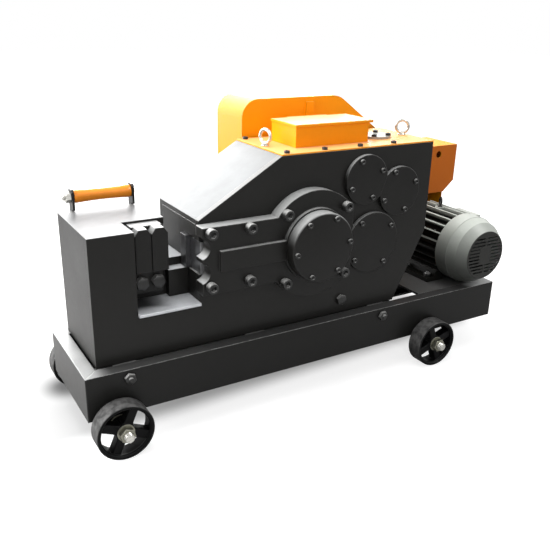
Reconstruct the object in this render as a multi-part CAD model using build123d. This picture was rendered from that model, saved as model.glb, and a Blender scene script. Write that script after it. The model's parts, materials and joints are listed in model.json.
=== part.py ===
import math
import os

from build123d import *

os.makedirs("parts", exist_ok=True)

# Driving sizes in millimetres. X runs along the base towards the motor, Y away from the
# working side and Z up. Pieces are drawn from the base's front corner on the working side,
# and the finished machine is moved to stand centred on the floor.

# Base frame
base_length = 1160
base_width = 256
rail_height = 100
rail_flange = 30
rail_wall = 6
member_width = 50
member_depth = 56
seat_strip = 6
frame_bolt_across = 22

# Wheels
wheel_diameter = 124
wheel_width = 42
wheel_gap = 5
far_wheel_gap = 40
hub_recess = 6
spoke_count = 4
spoke_width = 20
spoke_depth = 25
axle_diameter = 20
axle_drop = 18.5
axle_overhang = 70
front_wheel_x = 64
rear_wheel_setback = 240

# Body shell
body_inset = 34
body_width = 212
plate = 16
nose_front = 34
nose_length = 96
throat_width = 140
slope_length = 202
deck_length = 438
nose_height = 281
front_height = 286
body_height = 406
tail_height = 180
tail_cut = 89
throat_floor_height = 98
bar_ledge_height = 185
bar_gap = 46
skin = 8

# Cutting head
fixed_blade_size = (72, 20, 80)
moving_blade_size = (12, 27, 74)
shear_plane = 78
ram_setback = 4
ram_length = 168
ram_width = 145
ram_height = 92
guide_length = 125
stroke = 40
guide_thickness = 32
guide_arm_half = 75
guide_bulge_radius = 126
notch_radius = 24

# Crank and gears
crank_offset = 277
crank_height = 204
journal_radius = 35
eccentric_radius = 58
rod_length = 170
rod_width = 48
modules = (4, 5, 6)
pinion_teeth = 14
wheel_teeth = (41, 43, 49)
first_mesh_angle = 160.1
third_mesh_angle = -9.6
second_setback = 103.26
tooth_play = 0.4
running_fit = 0.05
side_play = 0.5

# Belt drive
flywheel_radius = 150
pulley_radius = 50
belt_count = 3
belt_pitch = 19
groove_half = 8.5
groove_depth = 13
belt_depth = 10.5
belt_play = 0.4
guard_gap = 12
guard_depth = 132
belt_setback = 48
guard_sheet = 3

# Motor
motor_setback = 65
motor_height = 100
motor_radius = 75
fin_radius = 94
fin_count = 24
cowl_radius = 93
grille_radius = 66
motor_front = -16
motor_shaft_radius = 14
terminal_box_depth = 34
platform_length = 233

# Top fittings and roller
deck_plate = 3
oil_box_size = (206, 108, 47)
oil_box_start = (68, 54)
lid_height = 6
lid_overhangs = (3, 10, 4)
flange_radius = 40
flange_share = 0.4167
eye_ring = 15.5
eye_rod = 3.8
eye_collar = 4
roller_length = 128
roller_end_radius = 15
roller_waist_radius = 12.8

# Places worked out from the driving sizes
body_near = body_inset
body_far = body_inset + body_width
inner_near = body_near + plate
inner_far = body_far - plate
throat_left = nose_front + nose_length
throat_right = throat_left + throat_width
deck_front = throat_right + slope_length
body_rear = deck_front + deck_length
tail_x = body_rear - tail_cut
nose_top = rail_height + nose_height
front_top = rail_height + front_height
deck_z = rail_height + body_height
tail_z = rail_height + tail_height
throat_floor = rail_height + throat_floor_height
bar_ledge = rail_height + bar_ledge_height
post_face = throat_right - bar_gap
shear_y = body_near + shear_plane
wheel_radius = wheel_diameter / 2
axle_radius = axle_diameter / 2
rear_wheel_x = base_length - rear_wheel_setback
throw = stroke / 2
crank = (throat_right + crank_offset, rail_height + crank_height)
motor_x = base_length - motor_setback
motor = (motor_x, rail_height - rail_wall + motor_height)
guard_near = body_far + guard_gap
guard_far = guard_near + guard_depth
drive_plane = guard_near + belt_setback


def reach(start, distance, degrees):
    turn = math.radians(degrees)
    return (start[0] + distance * math.cos(turn), start[1] + distance * math.sin(turn))


centre_distances = [m * (pinion_teeth + z) / 2 for m, z in zip(modules, wheel_teeth)]
third = reach(crank, centre_distances[2], third_mesh_angle)
second_run = body_rear - second_setback - third[0]
second_mesh_angle = math.degrees(math.acos(second_run / centre_distances[1]))
second = reach(third, centre_distances[1], second_mesh_angle)
first = reach(second, centre_distances[0], first_mesh_angle)

# Lanes across the gear case, measured from the near plate's inner face
rod_lane = (inner_near + 36, inner_near + 36 + rod_width)
first_lane = (inner_near + 57, inner_near + 81)
second_lane = (inner_near + 98, inner_near + 128)
third_lane = (inner_near + 136, inner_near + 174)

# Helpers for straight prisms: outlines are drawn as (x, z) across Y, (y, z) along X, (x, y) up Z


def across(outline, y0, y1):
    drawn = Plane((0, y1, 0), x_dir=(1, 0, 0), z_dir=(0, -1, 0)) * outline
    return extrude(drawn, y1 - y0, dir=(0, -1, 0))


def along(outline, x0, x1):
    drawn = Plane((x0, 0, 0), x_dir=(0, 1, 0), z_dir=(1, 0, 0)) * outline
    return extrude(drawn, x1 - x0, dir=(1, 0, 0))


def upward(outline, z0, z1):
    return extrude(Plane((0, 0, z0)) * outline, z1 - z0, dir=(0, 0, 1))


def block(x0, x1, y0, y1, z0, z1):
    centre = Pos((x0 + x1) / 2, (y0 + y1) / 2, (z0 + z1) / 2)
    return centre * Box(x1 - x0, y1 - y0, z1 - z0)


def disc(radius, centre, y0, y1):
    return across(Pos(*centre) * Circle(radius), y0, y1)


def tube(radius, bore, centre, y0, y1):
    return across(Pos(*centre) * (Circle(radius) - Circle(bore)), y0, y1)


def hexagon(across_flats, centre):
    return Pos(*centre) * RegularPolygon(across_flats / 2, 6, major_radius=False)


def ring_points(centre, radius, count, start):
    return [reach(centre, radius, start + 360 * k / count) for k in range(count)]


def group(pieces):
    return Compound([solid for piece in pieces for solid in piece.solids()])


def lathe(outline, centre, y):
    # The outline's first number is the radius, its second the distance along Y
    face = Plane((centre[0], y, centre[1]), x_dir=(1, 0, 0), z_dir=(0, 0, 1)) * outline
    return revolve(face, Axis((centre[0], y, centre[1]), (0, 1, 0)))


parts = {}

# Base frame: four mitred channels, bolted cross members and the plate the motor stands on


def mitred_channel(length):
    inner = length - rail_flange
    plan = Polygon((0, 0), (length, 0), (inner, rail_flange), (rail_flange, rail_flange))
    hollow_plan = Polygon(
        (rail_wall, rail_wall),
        (length - rail_wall, rail_wall),
        (inner, rail_flange),
        (rail_flange, rail_flange),
    )
    hollow = upward(hollow_plan, rail_wall, rail_height - rail_wall)
    return upward(plan, 0, rail_height) - hollow


member_xs = (nose_front + 59, (throat_right + crank[0]) / 2, tail_x - 58)
frame_bolt_z = rail_height - 20
frame_bolts = [(member_xs[0], frame_bolt_z), (member_xs[2], frame_bolt_z)]
bolt_shanks = [disc(6, p, 0, rail_wall + 20) for p in frame_bolts]
bolt_shanks += [disc(6, p, base_width - rail_wall - 20, base_width) for p in frame_bolts]
near_rail = mitred_channel(base_length)
far_rail = Pos(base_length, base_width, 0) * Rot(0, 0, 180) * mitred_channel(base_length)
parts["near_rail"] = near_rail - bolt_shanks
parts["far_rail"] = far_rail - bolt_shanks
parts["front_rail"] = Pos(0, base_width, 0) * Rot(0, 0, -90) * mitred_channel(base_width)
parts["rear_rail"] = Pos(base_length, 0, 0) * Rot(0, 0, 90) * mitred_channel(base_width)

under_flange = rail_height - rail_wall
members = []
for x in member_xs:
    left = x - member_width / 2
    right = x + member_width / 2
    beam = block(left, right, rail_wall, base_width - rail_wall, rail_height - member_depth, under_flange)
    crown = block(left, right, rail_flange, base_width - rail_flange, under_flange, rail_height)
    members.append(beam + crown - bolt_shanks)
strip_ends = [nose_front]
for x in member_xs:
    strip_ends += [x - member_width / 2, x + member_width / 2]
strip_ends.append(tail_x)
for k in range(0, len(strip_ends), 2):
    ends = strip_ends[k : k + 2]
    members.append(block(*ends, rail_wall, inner_near, under_flange - seat_strip, under_flange))
parts["cross_members"] = group(members)

platform_front = base_length - rail_wall - platform_length
foot_y = (112, 200)
foot_x = (motor_x - 80, motor_x + 80)
foot_bolts = [(x, y) for x in foot_x for y in foot_y]
foot_shanks = [upward(Pos(x, y) * Circle(5), under_flange - 6, under_flange + 12) for x, y in foot_bolts]
platform = block(
    platform_front,
    base_length - rail_wall,
    rail_wall,
    base_width - rail_wall,
    under_flange - 6,
    under_flange,
)
tongue_end = foot_x[1] + 24
tongue = (foot_y[0] - 20, foot_y[1] + 20)
platform += block(base_length - rail_wall, tongue_end, *tongue, under_flange - 6, under_flange)
parts["motor_platform"] = platform - foot_shanks
tongue_slot = block(
    base_length - rail_flange, base_length, tongue[0] - 2, tongue[1] + 2, under_flange - 8, rail_height
)
parts["rear_rail"] -= tongue_slot

# Running gear: brackets under the rails, two plain axles, nuts, washers and four cast wheels

bracket_width = 12
hub_play = 1
axle_z = -axle_drop
brackets = []
axles = []
axle_fasteners = []
for x in (front_wheel_x, rear_wheel_x):
    axle_point = (x, axle_z)
    strap = Pos(x, axle_z / 2) * Rectangle(52, axle_drop) + Pos(*axle_point) * Circle(24)
    strap -= Pos(x, 30) * Rectangle(80, 60)
    for y in (0, base_width - bracket_width):
        brackets.append(across(strap, y, y + bracket_width) - disc(axle_radius, axle_point, y, y + bracket_width))
    far_reach = axle_overhang + far_wheel_gap - wheel_gap
    axles.append(disc(axle_radius, axle_point, -axle_overhang, base_width + far_reach))
    for side, gap in ((-1, wheel_gap), (1, far_wheel_gap)):
        rail_face = 0 if side < 0 else base_width
        outer_face = gap + wheel_width - hub_recess + side_play
        spans = [(0, gap - hub_play, 20, "round"), (outer_face, outer_face + 3, 19, "round"),
                 (outer_face + 3, outer_face + 17, 30, "hex")]
        for near, far, size, kind in spans:
            ends = sorted((rail_face + side * near, rail_face + side * far))
            shape = Pos(*axle_point) * Circle(size) if kind == "round" else hexagon(size, axle_point)
            axle_fasteners.append(across(shape - Pos(*axle_point) * Circle(axle_radius), *ends))
parts["axle_brackets"] = group(brackets)
parts["wheel_axles"] = group(axles)
parts["axle_fasteners"] = group(axle_fasteners)


def cast_wheel(turn):
    origin = (0, 0)
    hub_inner = hub_play - side_play
    hub_face = hub_recess - wheel_width
    tread = tube(wheel_radius, wheel_radius - 7, origin, -wheel_width, 0)
    wheel = tread + disc(20, origin, hub_face, hub_inner)
    spoke_reach = wheel_radius - 5
    for k in range(spoke_count):
        heading = turn + 360 * k / spoke_count
        arm = Pos(*reach(origin, spoke_reach / 2, heading)) * Rot(0, 0, heading) * Rectangle(spoke_reach, spoke_width)
        wheel += across(arm, hub_face + 1, hub_face + 1 + spoke_depth)
    return wheel - disc(axle_radius + running_fit, origin, -wheel_width - 1, hub_inner + 1)


def near_wheel(x, turn):
    return Pos(x, -wheel_gap, axle_z) * cast_wheel(turn)


def far_wheel(x, turn):
    return Pos(x, base_width + far_wheel_gap, axle_z) * Rot(0, 0, 180) * cast_wheel(turn)


parts["front_near_wheel"] = near_wheel(front_wheel_x, 66)
parts["rear_near_wheel"] = near_wheel(rear_wheel_x, 20)
parts["front_far_wheel"] = far_wheel(front_wheel_x, 20)
parts["rear_far_wheel"] = far_wheel(rear_wheel_x, 45)

# Body: two side plates joined by the nose block, the ram guide, the slope and the rear skin

ram_near = body_near + side_play
ram_far = ram_near + ram_width
ram_low = crank[1] - ram_height / 2
ram_high = crank[1] + ram_height / 2
window_low = ram_low - side_play
window_high = ram_high + side_play
blade_tip, blade_reach, blade_tall = moving_blade_size
ram_front = throat_right + ram_setback
ram_step = throat_right + plate + stroke + 2
tongue_far = shear_y - 8
tongue_low = bar_ledge - 18
tongue_high = tongue_low + blade_tall - 2
blade_top = tongue_low + 1 + blade_tall
mouth_end = ram_step - stroke - side_play

bearing_sizes = {"first": (15, 31), "second": (17.5, 36), "third": (22.5, 42.5)}
first_far_radius = 17.5
first_far_outer = 36
crank_bush_outer = journal_radius + 10

guide_bolt_xs = (crank[0] - 265, crank[0] - 172)
guide_bolt_points = [(x, crank[1] + rise) for x in guide_bolt_xs for rise in (-56.5, 63)]
guide_bolt_points += ring_points(crank, 113.5, 4, 45)
guide_front = body_near - guide_thickness

crank_cover_radius = 82
crank_screw_points = ring_points(crank, 71.5, 6, 5)
cover_sizes = {"first": (first, 60, 48, 23), "second": (second, 61, 51.5, 22), "third": (third, 77, 65.5, 35)}
cover_screw_points = [p for c, r, s, a in cover_sizes.values() for p in ring_points(c, s, 4, a)]
far_cover_sizes = {"second": (second, 52, 44), "third": (third, 60, 51), "crank": (crank, 66, 56)}
far_screw_points = [p for c, r, s in far_cover_sizes.values() for p in ring_points(c, s, 4, 45)]
drain = reach(third, 160, 239.5)
guard_stud_points = [
    (crank[0] - 22, crank[1] + 140),
    (body_rear - 30, deck_z - 36),
    (body_rear - 30, tail_z + 50),
    (crank[0] + 92, crank[1] - 52),
]

shell = [
    (nose_front, rail_height),
    (tail_x, rail_height),
    (body_rear, tail_z),
    (body_rear, deck_z),
    (deck_front, deck_z),
    (throat_right, front_top),
]
near_notch = [(throat_right, throat_floor), (throat_left, throat_floor)]
far_notch = [(throat_right, bar_ledge), (post_face, bar_ledge)]
near_outline = Polygon(*shell, *near_notch, (throat_left, nose_top), (nose_front, nose_top))
far_outline = Polygon(*shell, *far_notch, (post_face, nose_top), (nose_front, nose_top))

near_plate = across(near_outline, body_near, inner_near)
mouth_low = tongue_low - side_play
mouth_high = blade_top + side_play
ram_window = block(throat_right, mouth_end, body_near, inner_near, mouth_low, mouth_high)
ram_window += block(mouth_end, crank[0], body_near, inner_near, window_low, window_high)
near_plate -= ram_window + disc(100, crank, body_near, inner_near)
for name, centre in (("first", first), ("second", second), ("third", third)):
    near_plate -= disc(bearing_sizes[name][1], centre, body_near, inner_near)
near_plate -= [disc(7, p, body_near, inner_near) for p in guide_bolt_points]
near_plate -= [disc(4, p, body_near, body_near + 12) for p in cover_screw_points]
near_plate -= disc(9, drain, body_near, inner_near)
parts["near_side_plate"] = near_plate

far_plate = across(far_outline, inner_far, body_far)
far_plate -= disc(first_far_outer, first, inner_far, body_far)
far_plate -= disc(bearing_sizes["second"][1], second, inner_far, body_far)
far_plate -= disc(bearing_sizes["third"][1], third, inner_far, body_far)
far_plate -= disc(crank_bush_outer, crank, inner_far, body_far)
far_plate -= [disc(4, p, body_far - 12, body_far) for p in far_screw_points]
far_plate -= [disc(5, p, body_far - 12, body_far) for p in guard_stud_points]
roller_bolt_points = [(nose_front + 66, nose_top - 26), (nose_front + 146, nose_top - 26)]
far_plate -= [disc(5, p, body_far - 12, body_far) for p in roller_bolt_points]
parts["far_side_plate"] = far_plate

blade_length, blade_thickness, blade_height = fixed_blade_size
blade_right = post_face - 1
blade_bottom = bar_ledge + 1
blade_pocket = block(
    blade_right - blade_length,
    post_face,
    shear_y,
    shear_y + blade_thickness,
    blade_bottom,
    blade_bottom + blade_height,
)
clamp_x = (throat_left + 11, throat_left + 78)
clamp_columns = (clamp_x[0] + 16, clamp_x[1] - 14)
clamp_bolt_z = throat_floor + 54
clamp_bolts = [(x, clamp_bolt_z) for x in clamp_columns]
clamp_shanks = [disc(8, p, shear_y - 28, shear_y + 24) for p in clamp_bolts]
step_near = shear_y - 20
nose = block(nose_front, throat_right, inner_near, inner_far, rail_height, throat_floor)
nose += block(nose_front, throat_left, inner_near, shear_y, throat_floor, nose_top)
nose += block(nose_front, post_face, shear_y, inner_far, throat_floor, nose_top)
nose += block(post_face, throat_right, shear_y + 6, inner_far, throat_floor, bar_ledge)
nose += block(post_face, throat_right, step_near, shear_y + 6, throat_floor, bar_ledge - 19)
parts["nose_block"] = nose - blade_pocket - clamp_shanks

chute_lip = 10
chute = block(throat_left, post_face, body_near - chute_lip, shear_y, throat_floor, throat_floor + 6)
chute += block(post_face, throat_right, body_near - chute_lip, step_near, throat_floor, throat_floor + 6)
parts["throat_chute"] = chute

slope_drop = 10
guide_back = throat_right + guide_length
guide_top = front_top - slope_drop
ram_guide = block(throat_right, throat_right + plate, inner_near, inner_far, throat_floor, guide_top)
ram_guide += block(
    throat_right + plate, guide_back, inner_near, inner_far, window_low - 14, window_high + 14
)
ram_guide -= block(throat_right, throat_right + plate, inner_near, shear_y + side_play, mouth_low, mouth_high)
ram_guide -= block(throat_right + plate, guide_back, inner_near, ram_far + side_play, window_low, window_high)
parts["ram_guide"] = ram_guide

slope = Polygon(
    (throat_right, front_top),
    (deck_front, deck_z),
    (deck_front, deck_z - slope_drop),
    (throat_right, guide_top),
)
parts["slope_plate"] = across(slope, inner_near, inner_far)

tail_turn = math.atan2(tail_height, tail_cut)
tail_step = skin / math.sin(tail_turn)
fold = skin * math.tan((math.pi / 2 - tail_turn) / 2)
floor_fold = skin / math.tan(tail_turn / 2)
skin_outline = Polygon(
    (throat_right, rail_height),
    (tail_x, rail_height),
    (body_rear, tail_z),
    (body_rear, deck_z),
    (body_rear - skin, deck_z),
    (body_rear - skin, tail_z + fold),
    (tail_x - tail_step + skin / math.tan(tail_turn), rail_height + skin),
    (throat_right, rail_height + skin),
)
parts["rear_skin"] = across(skin_outline, inner_near, inner_far)

# Cutting head: blades, clamp, ram with its wrist pin stubs, and the guide plate casting

parts["fixed_blade"] = blade_pocket - block(
    blade_right, post_face, shear_y, shear_y + blade_thickness, blade_bottom, blade_bottom + blade_height
)
clamp = block(*clamp_x, shear_y - 28, shear_y, throat_floor + 27, nose_top - 5)
column_half = 17.5
column_low = throat_floor + 84
column_high = nose_top - 5
for x in clamp_columns:
    finger = Polygon(
        (x - column_half, column_low),
        (x + column_half, column_low),
        (x + column_half, column_high - 12),
        (x + column_half - 8, column_high),
        (x - column_half + 8, column_high),
        (x - column_half, column_high - 12),
    )
    clamp += across(finger, shear_y - 54, shear_y - 28)
parts["blade_clamp"] = clamp - clamp_shanks

ram_back = ram_front + ram_length
rod_eye_radius = 17
pocket_half = rod_eye_radius + throw + 1.5
pin_x = crank[0] + throw - rod_length
pocket_front = pin_x - stroke - rod_eye_radius - 4
pocket_near = rod_lane[0] - 5
pocket_far = rod_lane[1] + 5
pin_radius = 12
ram = block(ram_step, ram_back, ram_near, ram_far, ram_low, ram_high)
ram += block(ram_front, ram_step, ram_near, tongue_far, tongue_low, tongue_high)
ram -= block(pocket_front, ram_back, pocket_near, pocket_far, crank[1] - pocket_half, crank[1] + pocket_half)
wrist_near = disc(pin_radius, (pin_x, crank[1]), ram_near + 4, pocket_near)
wrist_far = disc(pin_radius, (pin_x, crank[1]), pocket_far, ram_far - 4)
parts["ram"] = ram - wrist_near - wrist_far
parts["wrist_pins"] = group([wrist_near, wrist_far])
parts["moving_blade"] = block(
    ram_front - blade_tip,
    ram_front,
    shear_y - side_play - blade_reach,
    shear_y - side_play,
    blade_top - blade_tall,
    blade_top,
)

guide_left = throat_right - 6
guide_flat = crank[0] + 104
arm_middle = (guide_left + crank[0]) / 2
guide_outline = Pos(arm_middle, crank[1]) * Rectangle(crank[0] - guide_left, 2 * guide_arm_half)
guide_outline += Pos(*crank) * Circle(guide_bulge_radius)
guide_outline -= Pos(guide_flat + 100, crank[1]) * Rectangle(200, 300)
for s in (-1, 1):
    guide_outline -= Pos(guide_left - 6, crank[1] + 3 + s * 27.3) * Circle(notch_radius)
guide = across(guide_outline, guide_front, body_near)
rib_left = guide_left + 39
guide += block(rib_left, crank[0], guide_front - 8, guide_front, crank[1] - 24, crank[1] + 22)
guide += disc(crank_cover_radius + 4, crank, guide_front - 8, guide_front)
guide -= disc(crank_bush_outer, crank, guide_front - 8, body_near)
guide -= [disc(7, p, guide_front, body_near) for p in guide_bolt_points]
cover_seat = guide_front - 8
guide -= [disc(4, p, cover_seat, cover_seat + 14) for p in crank_screw_points]
parts["guide_plate"] = guide
bolts = []
for p in guide_bolt_points:
    bolt = disc(7, p, guide_front, inner_near) + disc(12, p, guide_front - 16, guide_front)
    bolts.append(bolt - across(hexagon(14, p), guide_front - 16, guide_front - 8))
parts["guide_bolts"] = group(bolts)

# Crank, rod and gear train


def gear_outline(module, teeth, centre, degrees):
    pressure = math.radians(20)
    pitch = module * teeth / 2
    base = pitch * math.cos(pressure)
    tip = pitch + 0.8 * module
    root = pitch - module
    start = max(root, base)
    half = math.pi / (2 * teeth) - tooth_play / (2 * pitch)

    def half_angle(radius):
        roll = math.acos(base / radius)
        return half + math.tan(pressure) - pressure - math.tan(roll) + roll

    flank = [(start, half_angle(start)), ((start + tip) / 2, half_angle((start + tip) / 2)), (tip, half_angle(tip))]
    if root < base:
        flank.insert(0, (root, half_angle(start)))
    points = []
    for k in range(teeth):
        middle = degrees + 360 * k / teeth
        points += [reach(centre, r, middle - math.degrees(a)) for r, a in flank]
        points += [reach(centre, r, middle + math.degrees(a)) for r, a in reversed(flank)]
    return Polygon(*points)


def mesh(module, teeth, pinion_centre, gear_centre, degrees):
    pinion = gear_outline(module, pinion_teeth, pinion_centre, degrees)
    gear = gear_outline(module, teeth, gear_centre, degrees + 180 + 180 / teeth)
    return pinion, gear


first_pinion, second_wheel = mesh(modules[0], wheel_teeth[0], first, second, first_mesh_angle - 180)
second_pinion, third_wheel = mesh(modules[1], wheel_teeth[1], second, third, second_mesh_angle - 180)
third_pinion, crank_wheel = mesh(modules[2], wheel_teeth[2], third, crank, third_mesh_angle - 180)

pin = (crank[0] + throw, crank[1])
crank_seat = 42
crankshaft = disc(journal_radius, crank, guide_front - 4, rod_lane[0] - 1)
crankshaft += disc(eccentric_radius, pin, rod_lane[0] - 1, rod_lane[1] + 1)
crankshaft += disc(crank_seat, crank, rod_lane[1] + 1, third_lane[1])
crankshaft += disc(journal_radius, crank, third_lane[1], body_far + 2)
parts["crankshaft"] = crankshaft
parts["crank_gear"] = across(crank_wheel, *third_lane) - disc(crank_seat, crank, *third_lane)

rod_outer = 80
rod = disc(rod_outer, pin, *rod_lane) + disc(rod_eye_radius, (pin_x, crank[1]), *rod_lane)
rod += block(pin_x, pin[0], *rod_lane, crank[1] - 14, crank[1] + 14)
rod -= disc(eccentric_radius + running_fit, pin, *rod_lane)
parts["connecting_rod"] = rod - disc(10, (pin_x, crank[1]), *rod_lane)

first_end = drive_plane + 40
first_shaft = disc(bearing_sizes["first"][0], first, body_near + 2, inner_near + side_play)
first_shaft += disc(20, first, inner_near + side_play, inner_far - side_play)
first_shaft += across(first_pinion, first_lane[0] - 2, first_lane[1] + 2)
first_shaft += disc(first_far_radius, first, inner_far - side_play, first_end)
parts["first_shaft"] = first_shaft

second_radius = bearing_sizes["second"][0]
second_shaft = disc(second_radius, second, body_near + 2, body_far - 2)
second_shaft += disc(22, second, inner_near + side_play, inner_far - side_play)
second_shaft += across(second_pinion, second_lane[0] - 2, second_lane[1] + 2)
parts["second_shaft"] = second_shaft
parts["second_gear"] = across(second_wheel, *first_lane) - disc(22, second, *first_lane)

third_radius = bearing_sizes["third"][0]
third_shaft = disc(third_radius, third, body_near + 2, body_far - 2)
third_shaft += disc(28, third, inner_near + side_play, inner_far - side_play)
third_shaft += across(third_pinion, third_lane[0] - 2, third_lane[1] + 2)
parts["third_shaft"] = third_shaft
parts["third_gear"] = across(third_wheel, *second_lane) - disc(28, third, *second_lane)

bearings = [tube(crank_bush_outer, journal_radius + running_fit, crank, guide_front, body_near)]
bearings += [tube(crank_bush_outer, journal_radius + running_fit, crank, inner_far, body_far)]
for name, centre in (("first", first), ("second", second), ("third", third)):
    shaft_radius, ring_radius = bearing_sizes[name]
    bearings.append(tube(ring_radius, shaft_radius + running_fit, centre, body_near, inner_near))
    if name != "first":
        bearings.append(tube(ring_radius, shaft_radius + running_fit, centre, inner_far, body_far))
bearings.append(tube(first_far_outer, first_far_radius + running_fit, first, inner_far, body_far))
parts["bearings"] = group(bearings)

cover_depth = 28
cover_near = cover_seat - cover_depth
crank_cover = disc(crank_cover_radius, crank, cover_near, cover_seat)
crank_cover -= disc(journal_radius + 8, crank, cover_near + 10, cover_seat)
crank_cover -= [disc(4, p, cover_near, cover_seat) for p in crank_screw_points]
parts["crank_cover"] = crank_cover

cover_thickness = 10
cover_front = body_near - cover_thickness
half_gap = 0.2
covers = []
cover_outlines = {name: Pos(*c) * Circle(r) for name, (c, r, s, a) in cover_sizes.items()}
split_point = reach(first, centre_distances[0] / 2, first_mesh_angle - 180)
split_plane = Location((split_point[0], split_point[1], 0), (0, 0, first_mesh_angle))
cover_outlines["first"] -= split_plane * Pos(-100 + half_gap, 0) * Rectangle(200, 200)
cover_outlines["second"] -= split_plane * Pos(100 - half_gap, 0) * Rectangle(200, 200)
for outline in cover_outlines.values():
    cover = across(outline, cover_front, body_near)
    covers.append(cover - [disc(4, p, cover_front, body_near) for p in cover_screw_points])
for c, r, s in far_cover_sizes.values():
    cover = disc(r, c, body_far, body_far + 8) - disc(journal_radius + 4, c, body_far, body_far + 4)
    covers.append(cover - [disc(4, p, body_far, body_far + 8) for p in far_screw_points])
parts["bearing_covers"] = group(covers)

# Belt drive: grooved flywheel and motor pulley, three belts and the sheet guard

belt_lanes = [(k - (belt_count - 1) / 2) * belt_pitch for k in range(belt_count)]
rim_half = belt_lanes[-1] + groove_half + 5
groove_floor_half = groove_half - groove_depth * math.tan(math.radians(18))


def groove_points(radius):
    points = [(radius, -rim_half)]
    for lane in belt_lanes:
        points += [
            (radius, lane - groove_half),
            (radius - groove_depth, lane - groove_floor_half),
            (radius - groove_depth, lane + groove_floor_half),
            (radius, lane + groove_half),
        ]
    return points + [(radius, rim_half)]


rim_inner = flywheel_radius - 38
hub_radius = 38
web_half = 9
flywheel_outline = Polygon(
    (first_far_radius, -rim_half),
    (hub_radius, -rim_half),
    (hub_radius, -web_half),
    (rim_inner, -web_half),
    (rim_inner, -rim_half),
    *groove_points(flywheel_radius),
    (rim_inner, rim_half),
    (rim_inner, web_half),
    (hub_radius, web_half),
    (hub_radius, rim_half),
    (first_far_radius, rim_half),
)
parts["flywheel"] = lathe(flywheel_outline, first, drive_plane)
pulley_outline = Polygon(
    (motor_shaft_radius, -rim_half), *groove_points(pulley_radius), (motor_shaft_radius, rim_half)
)
parts["motor_pulley"] = lathe(pulley_outline, motor, drive_plane)


def run(degrees):
    turn = math.radians(degrees)
    return (-math.sin(turn), 0, math.cos(turn))


def belt_section(centre, radius, degrees, lane):
    turn = math.radians(degrees)
    radial = (math.cos(turn), 0, math.sin(turn))
    plane = Plane((centre[0], drive_plane + lane, centre[1]), x_dir=radial, z_dir=run(degrees))
    side = belt_play / math.cos(math.radians(18))
    inner_half = groove_half - belt_depth * math.tan(math.radians(18)) - side
    return plane * Polygon(
        (radius, side - groove_half),
        (radius, groove_half - side),
        (radius - belt_depth, inner_half),
        (radius - belt_depth, -inner_half),
    )


span_x = motor[0] - first[0]
span_z = motor[1] - first[1]
span = math.hypot(span_x, span_z)
heading = math.degrees(math.atan2(span_z, span_x))
wrap = math.degrees(math.acos((flywheel_radius - pulley_radius) / span))
straight = math.sqrt(span**2 - (flywheel_radius - pulley_radius) ** 2)
belts = []
for lane in belt_lanes:
    big_axis = Axis((first[0], 0, first[1]), (0, -1, 0))
    small_axis = Axis((motor[0], 0, motor[1]), (0, -1, 0))
    belt = revolve(belt_section(first, flywheel_radius, heading + wrap, lane), big_axis, 360 - 2 * wrap)
    belt += extrude(belt_section(first, flywheel_radius, heading - wrap, lane), straight, dir=run(heading - wrap))
    belt += revolve(belt_section(motor, pulley_radius, heading - wrap, lane), small_axis, 2 * wrap)
    belt += extrude(belt_section(motor, pulley_radius, heading + wrap, lane), straight, dir=run(heading + wrap))
    belts.append(belt)
parts["drive_belts"] = group(belts)

guard_left = crank[0] - 54
guard_top = deck_z + 93
guard_rear = base_length + 64
guard_low_top = tail_z + 160
guard_step_x = base_length + 26
guard_rear_low = rail_height + 232
guard_step_z = rail_height + 199
guard_floor = rail_height + 30
guard_bottom = tail_z - 18
guard_slope_x = crank[0] + 232
guard_corner = 45
guard_points = [
    (guard_left, guard_bottom),
    (guard_left, guard_top),
    (guard_slope_x, guard_top),
    (motor_x - 95, guard_low_top),
    (guard_rear, guard_low_top),
    (guard_rear, guard_rear_low),
    (guard_step_x, guard_step_z),
    (guard_step_x, guard_floor),
    (motor_x - 80, guard_floor),
    (guard_left + 70, guard_bottom),
]
guard_outline = make_face(Polyline(*guard_points, close=True))


def rounded(outline, inset):
    corner = outline.vertices().sort_by_distance((guard_left + inset, guard_top - inset, 0))[0]
    outline = fillet(corner, guard_corner - inset)
    shoulder = outline.vertices().sort_by_distance((guard_slope_x, guard_top - inset, 0))[0]
    return fillet(shoulder, 60)


outer_sheet = rounded(guard_outline, 0)
inner_sheet = rounded(offset(guard_outline, -guard_sheet, kind=Kind.INTERSECTION), guard_sheet)
belt_guard = across(outer_sheet, guard_near + guard_sheet, guard_far)
belt_guard -= across(inner_sheet, guard_near + guard_sheet, guard_far - guard_sheet)
mouth = Polygon(
    (guard_left + guard_sheet, guard_bottom - 20),
    (guard_step_x - guard_sheet, guard_floor - 20),
    (guard_step_x - guard_sheet, guard_floor + 6),
    (motor_x - 80, guard_floor + 6),
    (guard_left + 70, guard_bottom + 6),
    (guard_left + guard_sheet, guard_bottom + 6),
)
parts["belt_guard"] = belt_guard - across(mouth, guard_near + guard_sheet, guard_far - guard_sheet)

back_outline = outer_sheet - Pos(motor_x, guard_step_z - 250) * Rectangle(300, 500)
back_outline -= Pos(*first) * Circle(40)
back_outline -= Pos(guard_rear - 70, guard_low_top - 26) * Circle(10)
guard_back = across(back_outline, guard_near, guard_near + guard_sheet)
guard_back += [disc(14, p, body_far, guard_near) for p in guard_stud_points]
guard_back -= [disc(5, p, body_far, guard_near + guard_sheet) for p in guard_stud_points]
strap_x = guard_slope_x - 92
guard_back += block(strap_x - 11, strap_x + 11, guard_near - 6, guard_near, deck_z - 20, guard_top - 12)
parts["guard_back"] = guard_back

# Motor: finned housing on two feet, end shield, fan cowl, fan, rotor and terminal box

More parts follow.
